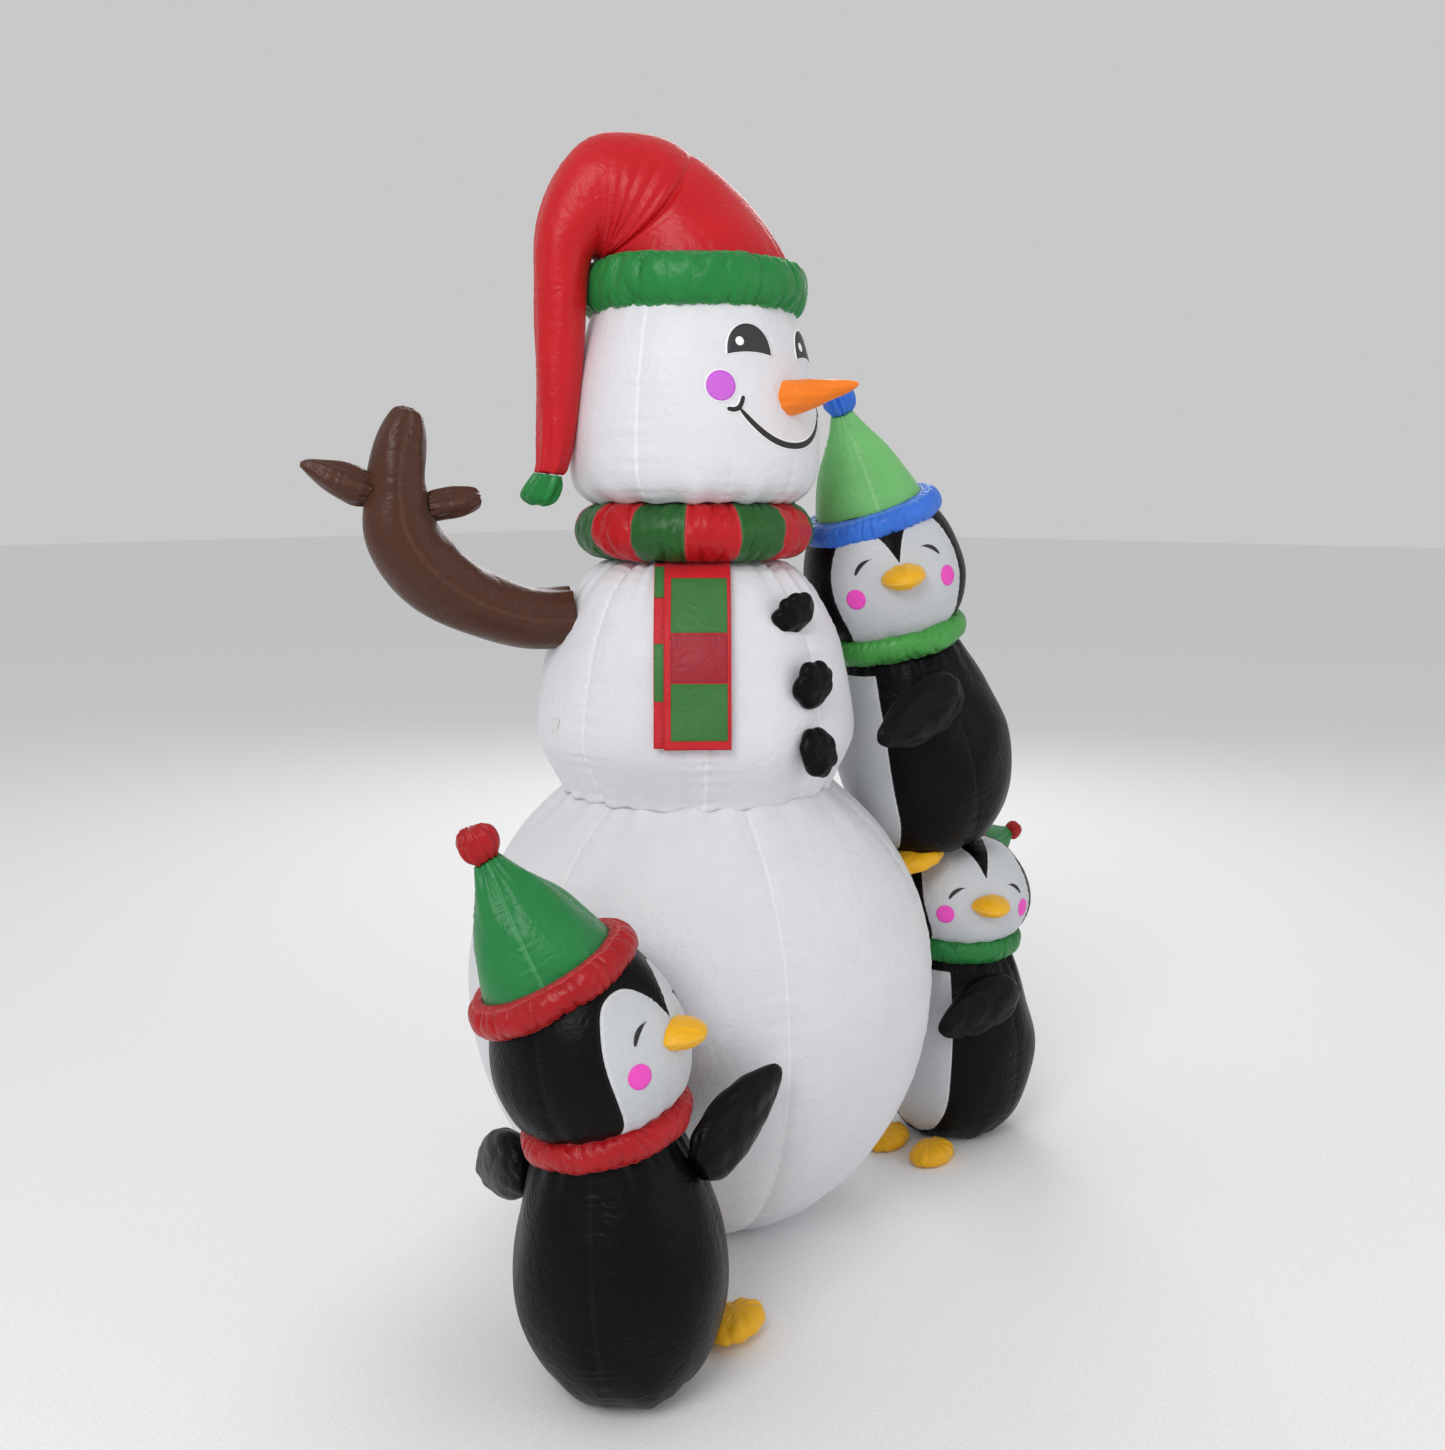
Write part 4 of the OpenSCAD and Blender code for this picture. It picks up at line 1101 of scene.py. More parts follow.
@dataclass
class Hat(Bag):
    """The long stocking hat: a cone that leans over and hangs beside the head."""

    rows: Array = field(default_factory=lambda: fold_rows([
        (-190, 1908, 188, 1908, 189), (-180, 1960, 185, 1928, 180), (-141, 2021, 183, 1940, 168),
        (-87, 2081, 183, 1944, 150), (-11, 2138, 186, 1949, 130), (77, 2178, 190, 1952, 111),
        (168, 2182, 195, 1954, 96), (228, 2158, 201, 1953, 85), (276, 2102, 207, 1949, 75),
        (305, 2038, 212, 1941, 66), (319, 1975, 215, 1928, 60), (321, 1900, 218, 1890, 56),
        (321, 1760, 230, 1760, 50), (322, 1640, 242, 1640, 45), (324, 1568, 262, 1562, 37),
        (328, 1549, 274, 1543, 30)], 10))
    place: Array = field(default_factory=lambda: UPPER @ turn("z", 152))
    seams: tuple[float, ...] = (0.0, 180.0)

    def relief(self, angle: Array, run: Array) -> Array:
        """Shape the fold down the front, the long soft creases and the gathers at the band."""
        off = self.off_seam(angle, run)
        h = seam_relief(off, run, 0.0028, 0.014, 0.0012, 0.016, 0.024, 4.0)
        side = np.abs(np.sin(angle))
        fan = np.sin(angle) ** 2 * smoothstep(np.abs(np.cos(angle)), 1.0, 0.9)
        fold = run - 0.315 - 0.02 * np.cos(angle)
        h += -0.014 * side * np.exp(-np.abs(fold) / 0.014)
        root = smoothstep(-np.cos(angle), -0.5, 0.9)
        bent = np.exp(-(((run - 0.42) / 0.13) ** 2))
        h += 0.0075 * bent * (0.25 + root) * fan * (np.abs(Ripples(33, (0, 2), (10.0, 17.0), 8).at(angle, run)) - 0.5)
        h += 0.0080 * bent * smoothstep(-np.cos(angle), 0.6, 1.0)
        h += 0.0045 * Ripples(34, (18, 38), (0, 3.0)).at(angle, run) * np.exp(-run / 0.05)
        h += 0.0012 * Ripples(35, (2, 8), (-6.0, 6.0), 12).at(angle, run)
        end = self.length - run
        return h + 0.0035 * Ripples(36, (5, 12), (0, 4.0)).at(angle, run) * np.exp(-end / 0.07)

    def make(self) -> None:
        """Build the hat, its gathered band and its green tip."""
        build("hat_skin", self.cover(260, 200, start=0.0), Cloth.HAT_RED.material(), "hat_red", ["hat"], girth=0.16)
        tip = HatTip()
        build("hat_tip_skin", tip.cover(50, 120, start=0.0), Cloth.BAND_GREEN.material(), "band_green",
              ["hat_tip"], girth=0.03)
        band = Roll(196, 214, 97, UPPER @ shift(0, 0, 1897.5), 34, 5.0, 41, 1.2)
        ring = band.cover(460, 26)
        ring = puffed(ring, ring.marks["held"], growth=0.14, pressure=5.0, cap=0.012)
        piece = build("hat_band_roll", ring, Cloth.BAND_GREEN.material(), "band_green",
                      ["hat_band"], girth=0.212)


@dataclass
class HatTip(Bag):
    """The gathered green end of the hat."""

    rows: Array = field(default_factory=lambda: fold_rows([
        (330, 1546, 276, 1540, 29), (346, 1526, 276, 1518, 30), (354, 1504, 288, 1494, 25),
        (338, 1489, 308, 1485, 12), (326, 1487, 320, 1486, 3)], 8))
    place: Array = field(default_factory=lambda: UPPER @ turn("z", 152))

    def relief(self, angle: Array, run: Array) -> Array:
        """Shape crumpled folds that meet at the end."""
        return 0.0035 * Ripples(45, (5, 11), (-8.0, 8.0), 8).at(angle, run)


@dataclass
class Scarf:
    """The gathered ring of red and green panels, and its two flat hanging ends."""

    panels: int = 14
    panel_cols: int = 34
    first_deg: float = 217.0
    ball: MiddleBall = field(default_factory=MiddleBall)

    tail_deg = 221.0
    tail_width = 0.124

    def ring(self) -> None:
        """Build the ring: one long roll, cut into panels of two colours."""
        roll = Roll(159, 230, 110, UPPER @ shift(0, 0, 1435.5) @ turn("z", self.first_deg), 44, 7.5, 51, 1.0)
        whole = roll.cover(self.panels * self.panel_cols)
        panels = roll.panels(puffed(whole, whole.marks["held"], growth=0.14, pressure=5.0, cap=0.012), self.panels)
        for first, cloth, slot, node in ((0, Cloth.SCARF_RED, "scarf_red", "scarf_ring_red"),
                                         (1, Cloth.SCARF_GREEN, "scarf_green", "scarf_ring_green")):
            piece = build(f"{node}_roll", joined(panels[first::2]), cloth.material(), slot, [node], girth=0.23)

    def strip(self, lift: float, side: float, width: float, low: float, high: float, wave: float) -> Array:
        """Work out a strip of cloth that hangs over the middle ball.

        Its distance from the axis is the ball's radius, or 326 mm where the ball turns under, plus
        the lift and a soft wave. It stays flat across.

        Args:
            lift: Height over the ball, in millimetres.
            side: Shift of its middle round the ball, in millimetres.
            width: Its width in millimetres.
            low: Height of its hem.
            high: Height of its upper end.
            wave: Height of the soft waves, in millimetres.

        Returns:
            Points, shape (rows, cols, 3), in metres.
        """
        z = np.linspace(low, high, 90)
        r = np.interp(z, self.ball.rows[:, 1], self.ball.rows[:, 2])
        r = np.where(z < 1041, 326.0, r) + lift
        across = np.linspace(-0.5, 0.5, 34) * width
        y, zz = np.meshgrid(across, z)
        soft = np.sin(zz / 31 + y / 60) + 0.7 * np.sin(zz / 17 - y / 38 + 1) + 0.5 * np.sin(y / 14 + zz / 90)
        rr = r[:, None] + 0 * y + wave * soft
        return moved(np.stack([rr, y + side, zz], -1) * MM, UPPER @ turn("z", self.tail_deg))

    def piece(self, name: str, points: Array, cloth: Cloth, slot: str, nodes: Sequence[str], thick: float) -> tuple:
        """Make one flat piece of the scarf's ends and measure it.

        Returns:
            The object, and its flat width and length in metres.
        """
        steps = np.linalg.norm(np.diff(points, axis=0), axis=-1)
        wide = float(np.linalg.norm(np.diff(points, axis=1), axis=-1).sum(1).mean())
        long = float(steps.sum(0).mean())
        n, m = points.shape[:2]
        run = np.concatenate([[0.0], np.cumsum(steps.mean(1))])[:, None] + np.zeros((1, m))
        u = np.linspace(0, wide, m)[None, :] + np.zeros((n, 1))
        edge = np.minimum(np.minimum(u, wide - u), np.minimum(run, long - run))
        sheet = patch(points, {"seam": np.maximum(edge, 0), "run": run + u, "angle": u / 0.3})
        obj = build(name, sheet, cloth.material(), slot, nodes, thick)
        return obj, wide, long

    def make(self) -> None:
        """Build the ring, the two hanging ends and the squares sewn on them."""
        self.ring()
        front, wide, long = self.piece(
            "scarf_end_front", self.strip(12.8, 6, 124, 1045, 1385, 1.2), Cloth.TAIL_RED, "tail_red",
            ["scarf_tail_front"], 0.0014)
        for k, (low, high) in enumerate(((1256, 1352), (1062, 1165))):
            square, _, _ = self.piece(f"scarf_square_{k}", self.strip(14.0, 9, 104, low, high, 1.2),
                                      Cloth.TAIL_GREEN, "tail_green", ["scarf_patches"] if not k else (), 0.0012)
        dark, _, _ = self.piece("scarf_square_dark", self.strip(13.9, 9, 104, 1168, 1253, 1.2), Cloth.TAIL_DARK,
                                "tail_dark_red", (), 0.0012)
        back, wide, long = self.piece(
            "scarf_end_back", self.strip(7.6, -13, 124, 1047, 1380, 0.8), Cloth.TAIL_RED, "tail_dark_red",
            ["scarf_tail_back"], 0.0014)
        for k, (low, high) in enumerate(((1318, 1372), (1132, 1236))):
            edge, _, _ = self.piece(f"scarf_edge_{k}", self.strip(8.9, -65, 18, low, high, 0.8), Cloth.TAIL_GREEN,
                                    "tail_green", (), 0.0012)


@dataclass
class Nose(Bag):
    """The carrot nose: a long thin cone with gathered cloth at its root."""

    rows: Array = field(default_factory=lambda: turned(np.vstack([[(30, 0)], smooth([
        (34, 2), (33, 15), (24, 70), (12, 135), (5, 158)], 8), [(1, 162)]])))
    place: Array = field(default_factory=lambda: UPPER @ shift(0, -236, 1685) @ turn("x", 83))
    seams: tuple[float, ...] = (90.0,)

    def relief(self, angle: Array, run: Array) -> Array:
        """Shape a few rings of slack cloth and the lengthwise seam."""
        h = 0.0010 * Ripples(61, (3, 9), (3.0, 14.0), 9).at(angle, run)
        h += 0.0016 * Ripples(62, (9, 16), (0, 2.0)).at(angle, run) * np.exp(-run / 0.025)
        return h + seam_relief(self.off_seam(angle, run), run, 0.0012, 0.004, 0.0005, 0.008, 0.014)

    def make(self) -> None:
        """Build the nose."""
        build("nose_skin", self.cover(90, 96), Cloth.ORANGE.material(), "nose_orange", ["nose"], girth=0.03)


@dataclass
class Arm(Bag):
    """The stick arm: out of the ball's side and up at the elbow."""

    rows: Array = field(default_factory=lambda: limb_rows([
        (266, 1267, 60, 60), (355, 1271, 62, 62), (452, 1305, 64, 62), (532, 1360, 73, 64), (584, 1432, 70, 62),
        (592, 1506, 58, 54), (588, 1560, 51, 48), (576, 1614, 44, 42), (566, 1653, 30, 32), (563, 1665, 12, 16)],
        9))
    place: Array = field(default_factory=lambda: UPPER @ turn("z", 152))
    seams: tuple[float, ...] = (90.0, 270.0)

    def relief(self, angle: Array, run: Array) -> Array:
        """Shape the seams, the creases inside the elbow and the crumpled tip."""
        off = self.off_seam(angle, run)
        h = seam_relief(off, run, 0.0030, 0.014, 0.0016, 0.020, 0.026, 6.0)
        elbow = np.exp(-(((run - 0.30) / 0.10) ** 2))
        inside = smoothstep(np.cos(angle), 0.0, 1.0)
        h += -0.0042 * elbow * inside * np.abs(np.sin(run * 60 + 0.6 * np.sin(angle * 3)))
        h += 0.0016 * Ripples(71, (2, 6), (-8.0, 8.0), 12).at(angle, run)
        h += 0.0025 * Ripples(72, (7, 14), (0, 3.0)).at(angle, run) * np.exp(-run / 0.03)
        end = self.length - run
        return h + 0.0018 * Ripples(73, (4, 8), (-6.0, 6.0)).at(angle, run) * np.exp(-end / 0.05)

    def make(self) -> None:
        """Build the arm and its two twigs."""
        piece = build("arm_skin", self.cover(200, 140, start=math.pi / 2), Cloth.BROWN.material(), "arm_brown",
                      ["arm"], girth=0.062)
        twigs = [Twig(limb_rows(rows, 9), seed=s) for s, rows in enumerate((
            [(642, 1513, 24, 26), (665, 1522, 34, 31), (705, 1538, 31, 28), (745, 1556, 15, 16),
             (762, 1560, 4, 5)],
            [(536, 1485, 24, 24), (518, 1487, 29, 27), (480, 1493, 29, 26), (445, 1500, 20, 20),
             (436, 1502, 10, 12)]))]
        piece = build("twig_skins", joined([t.cover(80, 90) for t in twigs]), Cloth.BROWN.material(), "arm_brown",
                      ["twigs"], girth=0.03)


@dataclass
class Twig(Bag):
    """A short twig, gathered where it is sewn to the arm."""

    place: Array = field(default_factory=lambda: UPPER @ turn("z", 152))
    seams: tuple[float, ...] = (90.0, 270.0)
    seed: int = 0

    def relief(self, angle: Array, run: Array) -> Array:
        """Shape the gathers at the root and soft dents."""
        h = seam_relief(self.off_seam(angle, run), run, 0.002, 0.008, 0.0012, 0.012, 0.018, self.seed)
        h += 0.0035 * Ripples(81 + self.seed, (7, 14), (0, 4.0)).at(angle, run) * np.exp(-run / 0.03)
        return h + 0.0022 * Ripples(84 + self.seed, (2, 7), (-10.0, 10.0), 10).at(angle, run)


@dataclass
class Button(Bag):
    """A puffy black button, gathered round its rim."""

    rows: Array = field(default_factory=lambda: turned(np.vstack([[(20, -1)], smooth([
        (33, 0), (45, 11), (44.5, 25), (29, 38)], 9), [(12, 41), (1, 42)]])))
    seed: int = 0

    def relief(self, angle: Array, run: Array) -> Array:
        """Shape deep irregular pleats round the rim that fade towards the middle."""
        rim = np.exp(-(((run - 0.030) / 0.020) ** 2))
        h = 0.0050 * rim * (np.abs(Ripples(91 + self.seed, (2, 5), (-6.0, 6.0), 8).at(angle, run)) - 0.5)
        return h + 0.0016 * Ripples(95 + self.seed, (2, 6), (-16.0, 16.0), 10).at(angle, run)


@dataclass
class Fittings:
    """Buttons, sewn tabs, ground straps and the hardware at the back."""

    ball: MiddleBall = field(default_factory=MiddleBall)
    button_z: tuple[float, ...] = (1291.0, 1154.0, 1020.0)
    tab_deg: tuple[float, ...] = (166.0, 90.0, 14.0)
    strap_deg: tuple[float, ...] = (54.0, 106.0, 204.0, 350.0)

    def radius(self, z: float) -> float:
        """Return the middle ball's radius at a height, in millimetres."""
        return float(np.interp(z, self.ball.rows[:, 1], self.ball.rows[:, 2]))

    def buttons(self) -> None:
        """Build the three buttons, square to the ball's skin."""
        for k, z in enumerate(self.button_z):
            tilt = 90 + math.degrees(math.atan((self.radius(z - 20) - self.radius(z + 20)) / 40))
            place = UPPER @ turn("z", -6) @ shift(0, -self.radius(z) - 1, z) @ turn("x", tilt)
            button = Button(place=place, seed=k)
            piece = build(f"button_{k}", button.cover(60, 110), Cloth.BLACK.material(), "black_nylon",
                          ["buttons"] if not k else (), girth=0.045)

    def webbing(self, name: str, points: Array, stands_for: Sequence[str], thick: float) -> None:
        """Build a flat strap from its middle surface."""
        build(name, patch(points), Webbing("woven polypropylene webbing", "#E9E9E6").material(), "webbing",
              stands_for, thick)

    def tabs(self) -> None:
        """Build the three tabs: loops of webbing folded over and sewn flat."""
        for k, degrees in enumerate(self.tab_deg):
            r = self.radius(1065) + 2.2
            y, z = np.meshgrid(np.linspace(-12.5, 12.5, 12), np.linspace(1051, 1079, 16))
            bow = 1.6 * np.cos((z - 1065) / 14 * math.pi / 2) ** 2
            points = moved(np.stack([r + bow, y, z], -1) * MM, UPPER @ turn("z", degrees))
            self.webbing(f"tether_tab_{k}", points, ["tether_tabs"] if not k else (), 0.0024)

    def straps(self) -> None:
        """Build the four straps that lie on the ground, each with a hole for its eyelet."""
        for k, degrees in enumerate(self.strap_deg):
            x, y = np.meshgrid(np.linspace(192, 432, 90), np.linspace(-14, 14, 14))
            ripple = 0.25 * np.sin(x / 9) * np.sin(y / 9)
            points = moved(np.stack([x, y, 2.0 + 0.4 * ripple], -1) * MM, turn("z", degrees))
            sheet = patch(points)
            centre = moved(np.array([410.0, 0, 2]) * MM, turn("z", degrees))
            edge = 0.009 - np.hypot(sheet.points[:, 0] - centre[0], sheet.points[:, 1] - centre[1])
            strap, _ = parted(sheet, np.clip(edge, -0.02, 0.02))
            build(f"ground_strap_{k}", strap, Webbing("woven polypropylene webbing", "#E9E9E6").material(),
                  "webbing", ["ground_straps"] if not k else (), 0.0018)

    def hardware(self) -> None:
        """Dress the hard parts, whose shapes are kept."""
        abs_black = Hard("moulded black ABS", "#1E1E20", 0.5)
        finishes = {
            "blower_front": abs_black, "blower_rear": abs_black,
            "blower_motor": Hard("rolled zinc-coated steel", "#B8BABD", 0.38, 1.0),
            "impeller": Hard("moulded white polypropylene", "#DCDCD8", 0.42),
            "light_cable": Hard("extruded white PVC", "#DADAD6", 0.48),
            # The lamp glass gets a painted sparkle, a faint glow in its own colour.
            "light_bulbs": Hard("blown clear lamp glass", "#FFF0CC", 0.15, 0.0, 1.2, 0.6),
            "zipper_tape": Webbing("woven polyester zip tape", "#E6E6E6", 1.2),
            "zipper_slider": Hard("die-cast painted zinc", "#C6C8CC", 0.32, 0.6),
            "zipper_pull": Hard("die-cast painted zinc", "#C6C8CC", 0.32, 0.6),
            "strap_eyelets": Hard("pressed nickel-plated steel", "#C8CACD", 0.28, 1.0),
        }
        for node, finish in finishes.items():
            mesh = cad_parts[node].data
            mesh.materials.clear()
            mesh.materials.append(finish.material())
            log.info("%s: finished as %s", node, finish.name)

    def make(self) -> None:
        """Build every fitting."""
        self.buttons()
        self.tabs()
        self.straps()
        self.hardware()


# ---------------------------------------------------------------- penguins


@dataclass(frozen=True)
class Stance:
    """Where one penguin stands, how it leans and turns, and what it wears."""

    feet: tuple[float, float, float]
    towards: float
    body_deg: float
    body_lean: float
    head_lean: float
    cap_lean: float
    cap_to: float
    size: float
    face_deg: float
    squash: float
    cap_size: float
    cap_at: tuple[float, float, float]
    flippers: tuple[tuple[float, float, float, float], ...]
    foot: tuple[float, float, float]
    cap: Cloth
    trim: Cloth
    collar: Cloth
    cap_slot: str
    trim_slot: str
    collar_slot: str
    cheek_deg: float = 35.0


@dataclass
class BodyBag(Bag):
    """A penguin's body: an egg with a pale panel on its front."""

    rows: Array = field(default_factory=lambda: BodyBag.egg())
    seams: tuple[float, ...] = (90.0, -90.0, 180.0)
    outline: Array = field(default_factory=lambda: mirrored([
        (0, 26), (52, 44), (98, 120), (112, 230), (104, 330), (82, 410), (72, 440)]))
    seed: int = 0

    @staticmethod
    def egg() -> Array:
        """Turn rows of z, centre x and radii along X and Y into ellipses."""
        p = smooth([(0, 0, 84, 78), (22, 0, 128, 120), (75, -4, 166, 158), (155, -6, 188, 182),
                    (250, -6, 192, 188), (340, -2, 172, 170), (420, 0, 142, 142), (472, 0, 120, 120)], 10)
        return np.stack([p[:, 1], p[:, 0], p[:, 2], 0 * p[:, 2], p[:, 3]], 1)

    def off_outline(self, angle: Array, run: Array) -> Array:
        """Return the distance from the pale panel's edge, seen from the front, negative inside it."""
        p = self.plain(angle, run)
        d = outline_distance(self.outline * MM, p[..., 1].ravel(), p[..., 2].ravel()).reshape(angle.shape)
        return np.where(p[..., 0] > 0.02, d, np.maximum(d, 0.0) + 0.03)

    def relief(self, angle: Array, run: Array) -> Array:
        """Shape the seams, the panel's sewn edge and the folds by the feet and collar."""
        h = seam_relief(self.off_seam(angle, run), run, 0.0028, 0.020, 0.0012, 0.016, 0.022, self.seed)
        h += seam_relief(np.abs(self.off_outline(angle, run)), run, 0.0030, 0.012, 0.0012, 0.014, 0.020, 2.0)
        h += 0.0050 * Ripples(101 + self.seed, (12, 28), (0, 2.0)).at(angle, run) * np.exp(
            -(self.length - run) / 0.035)
        h += 0.0050 * Ripples(104 + self.seed, (8, 20), (0, 2.0)).at(angle, run) * np.exp(-run / 0.05)
        return h + 0.0026 * Ripples(107 + self.seed, (2, 7), (-6.0, 6.0), 12).at(angle, run)


def mirrored(half: Sequence[Sequence[float]]) -> Array:
    """Close a smooth half outline with its mirror image."""
    p = smooth(half, 5)
    return np.vstack([p, (p * [-1, 1])[::-1]])


@dataclass
class HeadBag(Bag):
    """A penguin's head: a rounded bag with a pale face that comes to a point over the beak."""

    seams: tuple[float, ...] = (90.0, -90.0, 180.0)
    outline: Array = field(default_factory=lambda: mirrored([
        (0, 172), (24, 224), (58, 252), (100, 236), (130, 178), (136, 108), (114, 30), (98, -6), (90, -20)]))
    seed: int = 0

    @staticmethod
    def dome(squash: float) -> Array:
        """Return the rows of the head, squashed in height."""
        p = np.vstack([[(60, 0)], smooth([(112, 0), (150, 34), (170, 90), (172, 140), (160, 200), (138, 250),
                                          (108, 290), (60, 316)], 10), [(24, 321), (2, 322)]])
        return turned(p * [1, squash])

    def off_outline(self, angle: Array, run: Array) -> Array:
        """Return the distance from the pale face's edge, seen from the front, negative inside it."""
        p = self.plain(angle, run)
        d = outline_distance(self.outline * MM, p[..., 1].ravel(), p[..., 2].ravel()).reshape(angle.shape)
        return np.where(p[..., 0] > 0.02, d, np.maximum(d, 0.0) + 0.03)

    def relief(self, angle: Array, run: Array) -> Array:
        """Shape the seams, the face's sewn edge and the gathers at the neck."""
        h = seam_relief(self.off_seam(angle, run), run, 0.0028, 0.018, 0.0012, 0.014, 0.020, self.seed)
        h += seam_relief(np.abs(self.off_outline(angle, run)), run, 0.0026, 0.010, 0.0010, 0.012, 0.018, 1.0)
        h += 0.0045 * Ripples(111 + self.seed, (10, 24), (0, 2.0)).at(angle, run) * np.exp(-run / 0.07)
        return h + 0.0016 * Ripples(114 + self.seed, (2, 7), (-6.0, 6.0), 12).at(angle, run)

    def run_at(self, z_mm: float) -> float:
        """Return the place along the skin at a height over the head's underside."""
        return float(np.interp(z_mm, self.rows[:, 1], self.run))


@dataclass
class CapBag(Bag):
    """A penguin's hat: a soft cone of four gores."""

    rows: Array = field(default_factory=lambda: turned(np.vstack([smooth([
        (116, 0), (112, 40), (88, 105), (56, 165), (32, 205), (24, 222)], 10), [(8, 224)]])))
    seams: tuple[float, ...] = (45.0, 135.0, 225.0, 315.0)
    seed: int = 0

    def relief(self, angle: Array, run: Array) -> Array:
        """Shape the seams and the gathers at both ends."""
        h = seam_relief(self.off_seam(angle, run), run, 0.0030, 0.016, 0.0014, 0.016, 0.022, self.seed)
        h += 0.0040 * Ripples(121 + self.seed, (8, 20), (0, 2.0)).at(angle, run) * np.exp(
            -(self.length - run) / 0.04)
        return h + 0.0022 * Ripples(124 + self.seed, (2, 7), (-7.0, 7.0), 12).at(angle, run)


@dataclass
class Puff(Bag):
    """A small crumpled puff of cloth: a pompom, a beak, a flipper or a foot."""

    folds: tuple[int, int] = (4, 9)
    depth: float = 0.003
    seed: int = 0

    def relief(self, angle: Array, run: Array) -> Array:
        """Shape crumpled folds."""
        coarse = Ripples(131 + self.seed, self.folds, (-8.0, 8.0), 9).at(angle, run)
        fine = Ripples(151 + self.seed, (self.folds[0], 2 * self.folds[1]), (-20.0, 20.0), 9).at(angle, run)
        return self.depth * (np.abs(coarse) - 0.5) + 0.35 * self.depth * fine


@cache
def gathered_band(collar: bool) -> Sheet:
    """Make the gathered band of a collar or of a hat's rim, before it is placed."""
    size = (121, 147, 60, np.eye(4), 28, 4.0, 210) if collar else (116, 145, 56, np.eye(4), 28, 4.0, 200)
    ring = Roll(*size).cover(340, 22)
    return puffed(ring, ring.marks["held"], growth=0.12, pressure=5.0, cap=0.008)


@dataclass
class Penguin:
    """One penguin: body, head with its face, hat, collar, beak, flippers and feet."""

    number: int
    stance: Stance

    def __post_init__(self) -> None:
        """Work out where the body, neck, head and hat are."""
        s = self.stance
        ground = shift(*s.feet) @ lean(s.body_lean, s.towards)
        self.body = ground @ turn("z", s.body_deg) @ scaled(s.size)
        self.neck = ground @ scaled(s.size) @ shift(0, 0, 490) @ lean(s.head_lean - s.body_lean, s.towards)
        self.head = self.neck @ shift(0, 0, 10) @ turn("z", s.face_deg)
        self.cap = self.neck @ shift(*s.cap_at) @ lean(s.cap_lean - s.head_lean, s.cap_to) @ scaled(s.cap_size)

    def node(self, part: str) -> str:
        """Return the CAD name of one of this penguin's parts."""
        return f"penguin{self.number}_{part}"

    def put(self, part: str, sheet: Sheet, cloth: Cloth, slot: str, thick: float = 0.0, girth: float = 0.18) -> None:
        """Build one part in place of its CAD node."""
        piece = build(self.node(part) + "_skin", sheet, cloth.material(), slot, [self.node(part)], thick, girth)

    def split(self, bag: BodyBag | HeadBag, rows: int, cols: int, dark: str, pale: str) -> None:
        """Cut a skin along the edge of its pale panel and build both sides."""
        sheet = bag.cover(rows, cols, start=math.pi)
        angle = sheet.marks["angle"]
        edge = bag.off_outline(angle, sheet.marks["run"])
        sheet.marks["seam"] = np.minimum(sheet.marks["seam"], np.abs(edge))
        inner, outer = parted(sheet, edge)
        self.put(dark, outer, Cloth.BLACK, "black_nylon", 0.0014)
        self.put(pale, inner, Cloth.PANEL, "panel_grey", 0.0014)

    def face(self, bag: HeadBag) -> None:
        """Print the closed eyes and the cheeks."""
        k = self.stance.squash
        t = np.linspace(0, TURN, 40, endpoint=False)
        for side, name in ((-1, "right"), (1, "left")):
            disc = np.stack([21 * np.cos(t), 21 * np.sin(t)], 1) * MM
            cheek = bag.decal(disc, math.radians(side * self.stance.cheek_deg), bag.run_at(122 * k))
            build(self.node(f"cheek_{name}"), cheek, Ink.PINK.material(), "panel_grey")
            line = smooth([(-19, -14), (-13, -4), (-5, 4), (6, 10), (19, 13)], 5) * [-side, 1] * MM
            heading = unit(np.gradient(line, axis=0))
            across = np.stack([-heading[:, 1], heading[:, 0]], 1)
            half = 4.2 * MM * np.maximum(1 - np.abs(np.linspace(-1, 1, len(line)) + 0.15) ** 2.2, 0.06)
            section = np.array([-1, 0, 1, 1, -1.0])
            lift = np.array([1, 1, 1, -1.6, -1.6]) * 0.0011
            flat = line[:, None, :] + across[:, None, :] * (half[:, None] * section)[..., None]
            centre, run = math.radians(side * (self.stance.cheek_deg - 9)), bag.run_at(187 * k)
            radius = float(bag.girth(np.array(run)))
            points = bag.at(centre + flat[..., 0] / radius, run + flat[..., 1], lift + 0 * flat[..., 0])
            sheet = facing_out(ringed(points, {"run": flat[..., 1], "angle": flat[..., 0]}, True, True))
            build(self.node(f"eye_{name}"), sheet, Ink.LASH.material(), "panel_grey")

    def make(self) -> None:
        """Build the penguin from the ground up."""
        s, n = self.stance, self.number
        self.split(BodyBag(place=self.body, seed=n), 130, 190, "body", "belly")
        head = HeadBag(HeadBag.dome(s.squash), self.head, seed=n)
        self.split(head, 110, 180, "head", "face")
        self.face(head)
        cap = CapBag(place=self.cap, seed=n)
        self.put("hat", cap.cover(80, 130), s.cap, s.cap_slot, girth=0.11)
        for part, place, cloth, slot in (("hat_band", self.cap, s.trim, s.trim_slot),
                                         ("collar", self.neck, s.collar, s.collar_slot)):
            band = gathered_band(part == "collar")
            points = moved(band.points, place @ turn("z", 97 * n))
            ring = Sheet(points, band.faces, band.marks)
            self.put(part, ring, cloth, slot, girth=0.144)
        puff = turned(np.vstack([smooth([(20, 0), (29, 16), (30, 38), (22, 52)], 8), [(10, 56), (1, 56)]]))
        pompom = Puff(puff, self.cap @ shift(0, 0, 224.5), folds=(4, 8), depth=0.006, seed=n)
        self.put("pompom", pompom.cover(40, 70), s.trim, s.trim_slot, girth=0.03)
        self.beak()
        self.flippers()
        self.feet()

